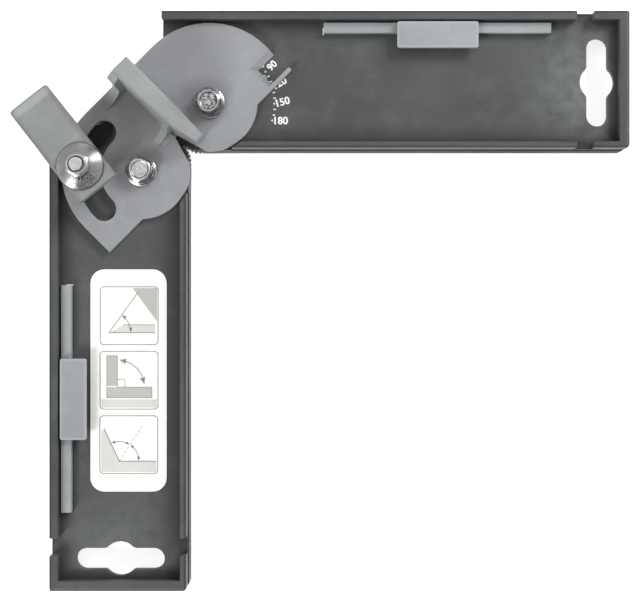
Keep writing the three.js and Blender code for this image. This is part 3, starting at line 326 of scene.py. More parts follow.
# How the streaks and scratches are drawn out and turned
ALONG_ARM_A = {"Scale": (0.35, 3.0, 1.0), "Rotation": (0, 0, 0.3)}
ALONG_ARM_B = {"Scale": (3.0, 0.35, 1.0), "Rotation": (0, 0, -0.2)}
EVEN = {"Scale": (1.0, 1.4, 1.0), "Rotation": (0, 0, 0.8)}
SHORT = {"Scale": (1.0, 7.0, 1.0), "Rotation": (0, 0, 0.5)}

# Depths of the bumps
WAVE_DEPTH = 0.25 * MM
GRAIN_DEPTH = 0.04 * MM
SCRATCH_DEPTH = 0.02 * MM
FILM_DEPTH = 0.01 * MM

# Tones of the plastic's marks, painted highlights and painted shade, as shares of its own colour
PALE_PATCH_TONE = 1.5
STREAK_TONE = 1.28
SMEAR_TONE = 1.24
LIP_HIGHLIGHT_TONE = 1.22
SPECKLE_TONE = 1.16
TAB_RIM_HIGHLIGHT_TONE = 1.13
GATE_TONE = 0.9
LEVER_EDGE_SHADE_TONE = 0.8
SCREW_SHADOW_TONE = 0.68
ARM_SHADE_TONE = 0.55
SLOT_SHADE_TONE = 0.15

# Tones of the zinc, as shares of its own colour: the two ends of its film, what lies on it, and painted shade
FILM_TONES = (0.84, 1.06)
SPUN_TONES = (0.82, 1.04)
TURNING_TONE = 0.66
CRYSTAL_TONE = 0.6
FOOT_SHADE_TONE = 0.3
STAIN_TONE = 0.24
FLANGE_SHADE_TONE = 0.2
PIT_TONE = 0.16

# Heights over which a tone changes, counted from the link plate's top, an arm's floor and a tab's top
LIT_CROWN_BLEND = (0.3 * MM, 2.0 * MM)
FLOOR_BLEND = (0.5 * MM, 2.5 * MM)
TAB_BLEND = (-1.2 * MM, -0.8 * MM)


def moulded_plastic(name, colour, cloud, roughness, stretch=EVEN, grain=GRAIN, shine=0.4, lit_crown=None):
    """Spark-eroded plastic: cloudy tone, fine grain, faint rubbed streaks and handling marks.

    Cloud is how far the tone wanders. A lit crown is a height above which the plastic takes another,
    paler colour, as painted light."""
    m = Surface(name)
    clouds = m.noise(CLOUDS)
    m.blend(clouds, (0.3, shade(colour, 1 - cloud)), (0.72, shade(colour, 1 + cloud)))
    # Painted light: above a lit crown's height the plastic is drawn paler
    if lit_crown:
        level, tone = lit_crown
        m.tint(m.beyond(level, LIT_CROWN_BLEND), linear(tone))
    m.wear(SMEARS, shade(colour, SMEAR_TONE), start=0.5, full=0.75, amount=5 * cloud)
    m.wear(SPECKLE, shade(colour, SPECKLE_TONE), start=0.35, full=0.7, amount=0.12)
    m.wear(STREAKS, shade(colour, STREAK_TONE), start=0.6, full=0.78, amount=0.16, stretch=stretch)
    fine = m.bump(m.noise(grain), 0.32, GRAIN_DEPTH)
    wavy = m.bump(m.noise(WAVES), 0.25, WAVE_DEPTH, after=fine)
    m.constant(Specular_IOR_Level=shine)
    m.drive(Roughness=m.span(clouds, 0.3, 0.75, roughness - 0.05, roughness + 0.07), Normal=wavy)
    return m


# Painted shade on an arm's floor: the width of the strip beside a wall, and how dark it is
INNER_SHADE_STRIP = (2.9 * MM, 0.85)
OUTER_SHADE_STRIP = (2.5 * MM, 0.5)
END_SHADE_STRIP = (3.7 * MM, 0.85)
WALL_SHADE_WIDTH = 13.7 * MM

# Painted shade along an arm's rounded edge: how far inside the face it starts and is full
INNER_SHADE_LINE = (1.4 * MM, 0.8 * MM)
OUTER_SHADE_LINE = (1.0 * MM, 0.5 * MM)
END_SHADE_LINE = (0.9 * MM, 0.5 * MM)
SHADE_LINE_DEPTH = 0.65

# Paler patch on an arm's floor round its hang slot: its place along and across the arm, and where it fades
# and ends
PALE_PATCH_PLACE = (142.6 * MM, 8.5 * MM)
PALE_PATCH_REACH = (6 * MM, 30 * MM)

# Far end of the clamp's slot, which the photograph shows almost black: a spot of painted shade on arm B's
# floor
SLOT_END = PIVOT_B + plan(-19, 16.5)
SLOT_SHADE_RADIUS = 7.5 * MM
SLOT_SHADE_BLEND = 2 * MM


def arm_finish(name, stretch, pivot, lengthwise, outwards, wall_shade=0.0, slot_shade=None):
    """An arm's plastic: painted shade where the tray's floor meets its walls and along its rounded edges,
    and a paler patch round the hang slot.

    Wall shade is how far the painted shade darkens the floor towards the inner wall. Slot shade is the
    middle of a dark spot of painted shade."""
    m = moulded_plastic(name, ARM_GREY, 0.1, 0.5, stretch, ARM_GRAIN, shine=0.3)
    along = m.along(pivot, lengthwise)
    across = m.along(pivot, outwards)
    on_floor = m.fall(m.height(), FLOOR_TOP + FLOOR_BLEND[0], FLOOR_TOP + FLOOR_BLEND[1])
    slot = pivot + lengthwise * PALE_PATCH_PLACE[0] + outwards * PALE_PATCH_PLACE[1]
    pale_patch = m.product(m.fall(m.distance_from(slot), *PALE_PATCH_REACH, 0.85 - wall_shade), on_floor)
    dull = m.span(m.noise(DULL_SPOTS), 0.35, 0.6, 0.35, 1.0)
    m.tint(m.product(pale_patch, dull), shade(ARM_GREY, PALE_PATCH_TONE))
    # Painted shade on the floor beside the walls, broad towards the inner wall where a wall shade is given
    for place, wall, side, (width, depth) in (
            (across, ARM_INNER - INNER_WALL, -1, (WALL_SHADE_WIDTH, wall_shade)),
            (across, ARM_INNER - INNER_WALL, -1, INNER_SHADE_STRIP),
            (across, ARM_OUTER - OUTER_WALL, 1, OUTER_SHADE_STRIP),
            (along, ARM_FAR - END_WALL, 1, END_SHADE_STRIP)):
        strip = m.rise(place, side * (wall - width), side * wall, depth)
        m.tint(m.product(strip, on_floor), shade(ARM_GREY, ARM_SHADE_TONE))
    # Painted shade in dark lines along the arm's rounded edges
    for place, face, side, (start, full) in (
            (across, ARM_INNER, -1, INNER_SHADE_LINE),
            (across, ARM_OUTER, 1, OUTER_SHADE_LINE),
            (along, ARM_FAR, 1, END_SHADE_LINE)):
        line = m.rise(place, side * (face - start), side * (face - full), SHADE_LINE_DEPTH)
        m.tint(line, shade(ARM_GREY, ARM_SHADE_TONE))
    # Painted shade: a dark spot on the floor under the far end of the clamp's slot
    if slot_shade:
        dark = m.fall(m.distance_from(slot_shade), SLOT_SHADE_RADIUS, SLOT_SHADE_RADIUS + SLOT_SHADE_BLEND, 0.97)
        m.tint(dark, shade(ARM_GREY, SLOT_SHADE_TONE))
    return m.done()


# Painted shadow round the screws, as it lies in the photograph, a little beside their axes
SCREW_SHADOW_SHIFT = plan(-3.2, 0.4)
SCREW_SHADOW_REACH = (6.2 * MM, 11 * MM)


def link_finish(name):
    """The link plate's plastic, with its fence painted paler as painted light, and painted shadow round the
    two screws.
    """
    m = moulded_plastic(name, PLATE_GREY, 0.05, 0.46, lit_crown=(PLATE_TOP, FENCE_LIT_GREY))
    # Painted shadow round each screw, shifted to one side of its axis
    for centre in (PIVOT_A, PIVOT_B):
        screw_shadow = m.fall(m.distance_from(centre + SCREW_SHADOW_SHIFT), *SCREW_SHADOW_REACH, 0.42)
        m.tint(screw_shadow, shade(PLATE_GREY, SCREW_SHADOW_TONE))
    return m.done()


# How far in from the lever's rounded edges their painted shade reaches
LEVER_SIDE_SHADE = 2.2 * MM
LEVER_END_SHADE = 0.9 * MM

# The mark of its gate: a ring's four radii, in millimetres
GATE_RING = (0.7, 0.95, 1.0, 1.3)


def lever_finish(name):
    """The lever's plastic: a painted highlight on its lip, painted shade on its rounded edges and the round
    mark that its gate left.
    """
    m = moulded_plastic(name, LEVER_GREY, 0.04, 0.44)
    lengthwise = level_way(LEVER_HEADING)
    along = m.along(CLAMP, lengthwise)
    aside = m.combine("ABSOLUTE", m.along(CLAMP, level_way(LEVER_HEADING + TURN / 4)))
    # Painted shade on the rounded sides and the far end
    sides = m.rise(aside, LEVER_HALF_WIDTH - LEVER_SIDE_SHADE, LEVER_HALF_WIDTH, 0.75)
    end = m.rise(along, LEVER_REACH - LEVER_END_SHADE, LEVER_REACH, 0.8)
    # Painted highlight on the sloped lip at the far end
    m.tint(m.rise(along, LIP_START, LIP_FULL, 0.9), shade(LEVER_GREY, LIP_HIGHLIGHT_TONE))
    m.tint(sides, shade(LEVER_GREY, LEVER_EDGE_SHADE_TONE))
    m.tint(end, shade(LEVER_GREY, LEVER_EDGE_SHADE_TONE))
    gate = m.distance_from(CLAMP + GATE_PLACE * lengthwise)
    m.tint(m.ring(gate, GATE_RING, 0.5), shade(LEVER_GREY, GATE_TONE))
    return m.done()


# Painted highlight on the bevelled rim of a thumb tab: how far inside its edge it starts and is full
TAB_RIM_HIGHLIGHT = (0.95 * MM, 0.6 * MM)


def tab_plan(node):
    """Middle and half size in plan of an edge stop's thumb tab, from the stop's highest vertices."""
    places = [v.co.xy for v in frame["nodes"][node].data.vertices if v.co.z > TAB_TOP - LEVEL_TOLERANCE]
    low = Vector((min(p.x for p in places), min(p.y for p in places), 0))
    high = Vector((max(p.x for p in places), max(p.y for p in places), 0))
    return (low + high) / 2, (high - low) / 2


def stop_finish(name, node):
    """An edge stop's plastic, with a painted highlight round the bevelled rim of its thumb tab."""
    m = moulded_plastic(name, STOP_GREY, 0.04, 0.46)
    centre, half = tab_plan(node)
    rims = []
    for way, reach in ((Vector((1, 0, 0)), half.x), (Vector((0, 1, 0)), half.y)):
        aside = m.combine("ABSOLUTE", m.along(centre, way))
        rims.append(m.rise(aside, reach - TAB_RIM_HIGHLIGHT[0], reach - TAB_RIM_HIGHLIGHT[1]))
    # Painted highlight along the rim, only near the tab's top
    rim = m.product(m.combine("MAXIMUM", *rims), m.beyond(TAB_TOP, TAB_BLEND, 0.6))
    m.tint(rim, shade(STOP_GREY, TAB_RIM_HIGHLIGHT_TONE))
    return m.done()


def zinc_plate(name, roughness, scratch, tone=1.0):
    """Bright zinc with a dull film, crystals and short scratches."""
    m = Surface(name)
    film = m.noise(ZINC_FILM)
    dull, bright = FILM_TONES
    m.blend(film, (0.3, shade(ZINC, tone * dull)), (0.7, shade(ZINC, tone * bright)))
    m.wear(CRYSTALS, shade(ZINC, CRYSTAL_TONE), start=0.62, full=0.78, amount=0.45)
    marks = m.bump(m.noise(SCRATCHES, SHORT), scratch, SCRATCH_DEPTH)
    m.constant(Metallic=0.88)
    m.drive(Roughness=m.span(film, 0.3, 0.7, roughness - 0.04, roughness + 0.1), Normal=marks)
    return m


# The edge of the dish in a screw's head, and the two rings of painted shade on its flange, by their radii in
# millimetres
DISH_EDGE = (3.15 * MM, 3.3 * MM)
FLANGE_SHADE_RINGS = ((4.24, 4.32, 4.62, 4.7), (5.02, 5.1, 5.28, 5.36))


def screw_finish(name, centre, tone, blotch):
    """A flange screw's zinc, blotched in the dish of its head, with painted shade in two rings on its flange.
    """
    m = zinc_plate(name, 0.26, 0.35, tone)
    radius = m.distance_from(centre)
    in_dish = m.fall(radius, *DISH_EDGE)
    m.wear(STAINS, shade(ZINC, STAIN_TONE), start=0.45, full=0.56, amount=blotch, within=in_dish)
    # Painted shade in two rings on the flange, near the head
    for edges in FLANGE_SHADE_RINGS:
        m.tint(m.ring(radius, edges, 0.85), shade(ZINC, FLANGE_SHADE_TONE))
    return m.done()


# The domed washer: the place beside its axis that is pitted, how far the pits reach, and the painted shade at
# its foot
PITTED_SHIFT = plan(1.5, -5.0)
PITTED_REACH = (3.0 * MM, 5.5 * MM)
DOME_FOOT_SHADE = (8.35 * MM, 8.5 * MM)


def spun_zinc(name, centre):
    """Turned washer: fine rings about its axis, which draw the light out into wedges, a pitted side and
    painted shade at its foot.
    """
    m = Surface(name)
    radius = m.distance_from(centre)
    turning = m.add("ShaderNodeTexNoise", noise_dimensions="1D")
    turning.inputs["Scale"].default_value = 1 / TURNING_SIZE
    turning.inputs["Detail"].default_value = 3.0
    m.link(radius, turning.inputs["W"])
    rings = turning.outputs["Fac"]
    film = m.noise(SPUN_FILM)
    dull, bright = SPUN_TONES
    m.blend(film, (0.3, shade(ZINC, dull)), (0.72, shade(ZINC, bright)))
    m.tint(m.rise(rings, 0.35, 0.65, 0.25), shade(ZINC, TURNING_TONE))
    pitted = m.span(m.distance_from(centre + PITTED_SHIFT), *PITTED_REACH, 1.0, 0.1)
    m.wear(PITS, shade(ZINC, PIT_TONE), start=0.5, full=0.58, amount=0.95, within=pitted)
    # Painted shade at the foot of the dome
    m.tint(m.rise(radius, *DOME_FOOT_SHADE, 0.8), shade(ZINC, FOOT_SHADE_TONE))
    tangent = m.add("ShaderNodeTangent", direction_type="RADIAL", axis="Z")
    m.constant(Metallic=1.0, Anisotropic=0.95, Anisotropic_Rotation=0.25)
    m.drive(Roughness=m.span(film, 0.3, 0.7, 0.4, 0.5), Normal=m.bump(rings, 0.2, FILM_DEPTH),
            Tangent=tangent.outputs["Tangent"])
    return m.done()


def printed(name, colour, roughness=0.55):
    """Ink, paper or nylon, with the faint unevenness of a printed film."""
    m = Surface(name)
    tone = m.noise(PRINT_FILM)
    m.blend(tone, (0.3, shade(colour, 0.975)), (0.7, shade(colour, 1.0)))
    m.drive(Roughness=m.span(tone, 0.3, 0.7, roughness - 0.05, roughness + 0.05),
            Normal=m.bump(m.noise(FIBRES), 0.1, FILM_DEPTH))
    return m.done()


arm_plastic = {
    "a": arm_finish("arm_a_plastic", ALONG_ARM_A, PIVOT_A, Vector((1, 0, 0)), Vector((0, 1, 0))),
    "b": arm_finish("arm_b_plastic", ALONG_ARM_B, PIVOT_B, Vector((0, -1, 0)), Vector((-1, 0, 0)), wall_shade=0.45,
                    slot_shade=SLOT_END),
}
link_plastic = link_finish("link_plastic")
lever_plastic = lever_finish("lever_plastic")
collar_plastic = moulded_plastic("collar_plastic", LEVER_GREY, 0.04, 0.44).done()
stop_plastic = {side: stop_finish("stop_plastic_" + side, "edge_stop_" + side) for side in ("a", "b")}
screw_zinc = {
    "a": screw_finish("screw_zinc_a", PIVOT_A, tone=0.88, blotch=0.9),
    "b": screw_finish("screw_zinc_b", PIVOT_B, tone=0.94, blotch=0.4),
}
bright_zinc = zinc_plate("bright_zinc", 0.34, 0.3).done()
nut_zinc = zinc_plate("nut_zinc", 0.3, 0.35).done()
dome_zinc = spun_zinc("dome_zinc", CLAMP)
nylon = printed("nylon_insert", NYLON, 0.4)
label_paper = printed("label_paper", PAPER_WHITE, 0.5)
ink_white = printed("scale_ink", PRINT_WHITE)
ink_grey = printed("label_ink", PRINT_GREY)
ink_pale = printed("label_tint", PRINT_PALE)
ink_mid = printed("label_shade", PRINT_MID)


# Pieces. An edge stays sharp where its faces turn by more than these degrees
MOULDED_SMOOTH = 32
TURNED_SMOOTH = 24
THREAD_SMOOTH = 40


def show(name, data):
    """A new object in the scene."""
    item = bpy.data.objects.new(name, data)
    bpy.context.scene.collection.objects.link(item)
    return item


def new_piece(name, mesh, material):
    mesh.materials.clear()
    mesh.materials.append(material)
    return show(name, mesh)


def piece_of(name, shape, material):
    """A piece with the mesh that a bmesh holds."""
    mesh = bpy.data.meshes.new(name)
    shape.to_mesh(mesh)
    shape.free()
    return new_piece(name, mesh, material)


def set_smooth(mesh, degrees):
    bpy.context.view_layer.update()
    mesh.shade_smooth()
    mesh.set_sharp_from_angle(angle=math.radians(degrees))


def declare(piece, body, node=None):
    """The node that a piece stands for, which is hidden, and the body the piece rides on."""
    if node:
        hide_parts(node)
    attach(piece, body)


def repaint(node, material):
    cad = frame["nodes"][node]
    cad.data.materials.clear()
    cad.data.materials.append(material)


# Moulded pieces: the frame's own shapes with rounded edges
VERTEX_WELD = 0.002 * MM
FLAT_ANGLE = math.radians(0.6)
SHARP_ANGLE = math.radians(28)
TOOTH_REACH = 19.6 * MM
ARM_EDGE = 0.32 * MM
PLATE_EDGE = 0.4 * MM
LEVER_EDGE = 0.3 * MM
STOP_EDGE = 0.65 * MM
ARM_LOWER_SHARE = 0.6
STOP_LOWER_SHARE = 0.3


def dressed(node, body, material, edge, segments, keep_sharp=None, share=None):
    """The node's own shape with flat faces joined and edges rounded, each by its share of the width."""
    mesh = frame["nodes"][node].data.copy()
    mesh.name = node + "_dressed"
    shape = bmesh.new()
    shape.from_mesh(mesh)
    bmesh.ops.remove_doubles(shape, verts=shape.verts, dist=VERTEX_WELD)
    bmesh.ops.dissolve_limit(
        shape, angle_limit=FLAT_ANGLE, verts=shape.verts, edges=shape.edges, use_dissolve_boundaries=False)
    weights = shape.edges.layers.float.new("bevel_weight_edge")
    for e in shape.edges:
        sharp = len(e.link_faces) == 2 and e.calc_face_angle(0) > SHARP_ANGLE
        if sharp and not (keep_sharp and keep_sharp(e)):
            e[weights] = share(e) if share else 1.0
    shape.to_mesh(mesh)
    shape.free()
    piece = new_piece(node + "_dressed", mesh, material)
    bevel = piece.modifiers.new("edges", "BEVEL")
    bevel.width = edge
    bevel.segments = segments
    bevel.limit_method = "WEIGHT"
    bevel.use_clamp_overlap = True
    bevel.harden_normals = True
    set_smooth(mesh, MOULDED_SMOOTH)
    declare(piece, body, node)


def near_gear(edge):
    """Edges of the teeth stay as they are, because a round there would eat the flanks."""
    return all(
        min((v.co.xy - PIVOT_A.xy).length, (v.co.xy - PIVOT_B.xy).length) < TOOTH_REACH
        and v.co.z < FLOOR_TOP + LEVEL_TOLERANCE
        for v in edge.verts)


def broad_on_top(level, small):
    """Full width for the edges round the uppermost face, a share of it elsewhere."""
    return lambda e: 1.0 if min(v.co.z for v in e.verts) > level - LEVEL_TOLERANCE else small


# Round pieces: rings about an upright axis. A ring gives radius and height for an angle
FINE_SIDES = 144
PLAIN_SIDES = 96
INSERT_SIDES = 72


def ringed(name, centre, rings, sides, material, closed):
    """A skin through rings: closed on itself like a washer, or capped at both ends."""
    shape = bmesh.new()
    grid = []
    for ring in rings:
        row = []
        for i in range(sides):
            angle = TURN * i / sides
            radius, z = ring(angle)
            row.append(shape.verts.new(
                (centre.x + radius * math.cos(angle), centre.y + radius * math.sin(angle), z)))
        grid.append(row)
    pairs = list(zip(grid, grid[1:]))
    if closed:
        pairs.append((grid[-1], grid[0]))
    for low, high in pairs:
        for i in range(sides):
            j = (i + 1) % sides
            shape.faces.new((low[i], low[j], high[j], high[i]))
    if not closed:
        shape.faces.new(list(reversed(grid[0])))
        shape.faces.new(grid[-1])
    bmesh.ops.recalc_face_normals(shape, faces=shape.faces)
    piece = piece_of(name, shape, material)
    set_smooth(piece.data, TURNED_SMOOTH)
    return piece


def plain(radius, z):
    return lambda angle: (radius, z)


def outline(points, base, sign=1):
    """Round rings from radii and heights in millimetres, counted up or down from a level."""
    return [plain(radius * MM, base + sign * height * MM) for radius, height in points]


# Fasteners, which are all M5. The outlines below are radii and heights in millimetres
HEX_FLATS = 8 * MM
HEX_CONE = 3.9 * MM
HEX_TAPER = 0.5
THREAD_RADIUS = 2.48 * MM
THREAD_PITCH = 0.8 * MM
THREAD_DEPTH = 0.45 * MM
THREAD_CHAMFER = 0.55 * MM
THREAD_SLOPE = 1.25
THREAD_CREST = 0.12
THREAD_CORE_SHARE = 0.4
THREAD_STEPS = 4
THREAD_SIDES = 48
THREAD_WELD = 0.001 * MM
THREAD_SHORTEST = 0.0005 * MM

FLANGE = ((3.0, 0), (5.75, 0), (5.9, 0.15), (5.9, 0.8), (5.72, 1.02), (5.0, 1.35), (4.72, 1.6))
FLANGE_TO_HEX = 1.9 * MM
HEX_RIM_DROP = 0.16 * MM
HEAD_DISH = ((3.86, -0.05), (3.76, 0), (3.5, 0), (3.38, -0.08), (3.14, -0.42), (2.9, -0.52), (0.9, -0.46),
             (0.2, -0.45))
NUT_FOOT = ((2.6, 0.12), (2.95, 0), (3.84, 0))
NUT_HEX_LOW = 0.02 * MM
NUT_HEX_HIGH = 3.4 * MM
NUT_COLLAR = ((3.86, 3.46), (3.56, 3.56), (3.5, 3.72), (3.5, 4.35), (3.42, 4.68), (3.2, 4.88), (3.0, 4.84),
              (2.9, 4.62), (2.86, 4.2), (2.6, 4.15))
NUT_INSERT = ((2.52, 4.1), (2.9, 4.1), (2.9, 4.5), (2.52, 4.5))
CLAMP_HEAD_HEIGHT = 3.5 * MM
CLAMP_HEAD_FOOT = ((0.3, 0), (3.7, 0), (3.84, 0.04))
CLAMP_HEX_LOW = 0.1 * MM
CLAMP_HEAD_TOP = ((2.4, 0),)
CLAMP_SCREW_END = ((0.2, -0.5), (2.1, -0.5), (2.34, -0.3), (2.34, -0.14), (2.2, -0.02), (1.9, 0),
                   (0.9, -0.04), (0.2, -0.05))
HEAD_OVERLAP = 0.4 * MM
THREAD_OVERLAP = 0.3 * MM
WASHER_HOLE = 2.75 * MM
WASHER_SOFT = 0.12 * MM
PIVOT_WASHER_RADIUS = 6.4 * MM
CLAMP_WASHER_RADIUS = 3.98 * MM

# The domed washer's skin: radii in millimetres and shares of its height
DOME_OUTSIDE = ((8.5, 0.0), (8.68, 0.03), (8.7, 0.12), (8.62, 0.2), (8.45, 0.27), (8.0, 0.42), (7.3, 0.6),
                (6.5, 0.78), (5.7, 0.9), (5.1, 0.965), (4.7, 0.99), (4.3, 1.0), (3.1, 1.0), (2.85, 0.99))
DOME_INSIDE = ((2.7, 0.9), (2.7, 0.78), (4.3, 0.74), (5.6, 0.62), (7.0, 0.38), (8.0, 0.12), (8.2, 0.0))


def hex_ring(z, slope, heading):
    """Ring on a hexagon whose corners are cut back by a cone."""
    def ring(angle):
        turn = (angle - heading) % (TURN / 6) - TURN / 12
        radius = HEX_FLATS / 2 / math.cos(turn)
        return radius, z + slope * (radius - HEX_CONE)
    return ring


def threaded_rod(name, centre, low, high, tip_up):
    """Screw thread with a true helix and a chamfered end. Each ring climbs by one pitch on its way round."""
    shape = bmesh.new()

    def vertex(radius, angle, z):
        return shape.verts.new((centre.x + radius * math.cos(angle), centre.y + radius * math.sin(angle), z))

    def on_thread(ring, angle):
        climb = low - THREAD_PITCH + THREAD_PITCH * (ring / THREAD_STEPS + angle / TURN)
        z = min(max(climb, low), high)
        wave = abs(climb / THREAD_PITCH % 1 - 0.5) * 2
        groove = THREAD_DEPTH * min(1, max(0, THREAD_SLOPE * wave - THREAD_CREST))
        chamfer = max(0, THREAD_CHAMFER - (high - z if tip_up else z - low))
        return vertex(max(THREAD_RADIUS - groove - chamfer, THREAD_CORE_SHARE * THREAD_RADIUS), angle, z)

    rings = (int((high - low) / THREAD_PITCH) + 2) * THREAD_STEPS
    columns = [
        [on_thread(ring, TURN * i / THREAD_SIDES) for ring in range(rings)] for i in range(THREAD_SIDES + 1)]
    for near, far in zip(columns, columns[1:]):
        for k in range(rings - 1):
            shape.faces.new((near[k], far[k], far[k + 1], near[k + 1]))
    for z in (low, high):
        radius = THREAD_RADIUS - (THREAD_CHAMFER if (z == high) == tip_up else 0)
        end = [vertex(radius, TURN * i / THREAD_SIDES, z) for i in range(THREAD_SIDES)]
        shape.faces.new(end if z == high else list(reversed(end)))

    # The last column is the first one a pitch higher, so joining equal vertices closes the seam
    bmesh.ops.remove_doubles(shape, verts=shape.verts, dist=THREAD_WELD)
    bmesh.ops.dissolve_degenerate(shape, edges=shape.edges, dist=THREAD_SHORTEST)
    bmesh.ops.recalc_face_normals(shape, faces=shape.faces)
    piece = piece_of(name, shape, nut_zinc)
    set_smooth(piece.data, THREAD_SMOOTH)
    return piece


def flange_screw(side, centre, heading):
    node = "pivot_screw_" + side
    high = top(node)
    seat = high - SCREW_HEAD
    rings = outline(FLANGE, seat)
    rings.append(hex_ring(seat + FLANGE_TO_HEX, 0, heading))
    rings.append(hex_ring(high - HEX_RIM_DROP, -HEX_TAPER, heading))
    rings += outline(HEAD_DISH, high)
    head = ringed("flange_screw_" + side, centre, rings, FINE_SIDES, screw_zinc[side], False)
    declare(head, "link", node)
    thread = threaded_rod("pivot_thread_" + side, centre, bottom(node), seat + HEAD_OVERLAP, False)
    declare(thread, "link")


def lock_nut(name, node, centre, heading, collar_up, body):
    """Hexagon nut with a round collar that holds a nylon ring."""
    sign = 1 if collar_up else -1
    base = bottom(node) if collar_up else top(node)
    rings = outline(NUT_FOOT, base, sign)
    rings.append(hex_ring(base + sign * NUT_HEX_LOW, sign * HEX_TAPER, heading))
    rings.append(hex_ring(base + sign * NUT_HEX_HIGH, -sign * HEX_TAPER, heading))
    rings += outline(NUT_COLLAR, base, sign)
    declare(ringed(name, centre, rings, FINE_SIDES, nut_zinc, True), body, node)
    insert = ringed(name + "_insert", centre, outline(NUT_INSERT, base, sign), INSERT_SIDES, nylon, True)
    declare(insert, body)


def washer(name, node, centre, radius, body):
    low, high = bottom(node), top(node)
    hole, soft = WASHER_HOLE, WASHER_SOFT
    section = (
        (hole, low + soft), (hole + soft, low), (radius - soft, low), (radius, low + soft),
        (radius, high - soft), (radius - soft, high), (hole + soft, high), (hole, high - soft))
    rings = [plain(*corner) for corner in section]
    declare(ringed(name, centre, rings, PLAIN_SIDES, nut_zinc, True), body, node)


def clamp_stack():
    """The clamp's screw with its thread and end, its nut, the washer under the floor and the domed one."""
    node = "clamp_screw"
    low, high = bottom(node), top(node)
    head_top = low + CLAMP_HEAD_HEIGHT
    rings = outline(CLAMP_HEAD_FOOT, low)
    rings += [hex_ring(low + CLAMP_HEX_LOW, HEX_TAPER, 0), hex_ring(head_top, 0, 0)]
    rings += outline(CLAMP_HEAD_TOP, head_top)
    head = ringed("clamp_screw_head", CLAMP, rings, FINE_SIDES, nut_zinc, False)
    declare(head, "arm_b", node)
    thread = threaded_rod("clamp_thread", CLAMP, head_top - THREAD_OVERLAP, high - THREAD_OVERLAP, True)
    declare(thread, "arm_b")
    end = ringed("clamp_screw_end", CLAMP, outline(CLAMP_SCREW_END, high), PLAIN_SIDES, bright_zinc, False)
    declare(end, "arm_b")
    lock_nut("clamp_nut", "clamp_lock_nut", CLAMP, CLAMP_NUT_HEADING, True, "arm_b")
    washer("clamp_washer", "clamp_screw_washer", CLAMP, CLAMP_WASHER_RADIUS, "arm_b")
    foot, rise = bottom("clamp_dome_washer"), top("clamp_dome_washer") - bottom("clamp_dome_washer")
    skin = [plain(radius * MM, foot + share * rise) for radius, share in DOME_OUTSIDE + DOME_INSIDE]
    dome = ringed("domed_washer", CLAMP, skin, FINE_SIDES, dome_zinc, True)
    declare(dome, "clamp", "clamp_dome_washer")


# Headings of the hexagons, in radians, as the photograph shows them
CLAMP_NUT_HEADING = math.radians(30)
SCREW_HEADINGS = {"a": 0.12, "b": 0.62}
PIVOTS = {"a": PIVOT_A, "b": PIVOT_B}

for side in ("a", "b"):
    dressed("arm_" + side, "arm_" + side, arm_plastic[side], ARM_EDGE, 2, near_gear,
            broad_on_top(ARM_TOP, ARM_LOWER_SHARE))
dressed("link_plate", "link", link_plastic, PLATE_EDGE, 3)
dressed("clamp_lever", "lever", lever_plastic, LEVER_EDGE, 3)
for side in ("a", "b"):
    dressed("edge_stop_" + side, "stop_" + side, stop_plastic[side], STOP_EDGE, 3,
            share=broad_on_top(TAB_TOP, STOP_LOWER_SHARE))
repaint("clamp_collar", collar_plastic)
repaint("instruction_label", label_paper)
for side, centre in PIVOTS.items():
    heading = SCREW_HEADINGS[side]
    flange_screw(side, centre, heading)
    lock_nut("pivot_lock_nut_" + side, "pivot_nut_" + side, centre, heading, False, "link")
    washer("pivot_plain_washer_" + side, "pivot_washer_" + side, centre, PIVOT_WASHER_RADIUS, "link")
    repaint("pivot_bush_" + side, nut_zinc)
clamp_stack()


# Print: flat shapes drawn in millimetres, then laid on a face
PRINT_LIFT = 0.02 * MM
ARROW_NOTCH_SHARE = 0.18
SHARPEST_MITRE = 0.35
GLYPH_WEIGHT = 0.02
GLYPH_SPACING = 1.04
GLYPH_SHIFT = 0.06
GLYPH_LIFT = 0.004


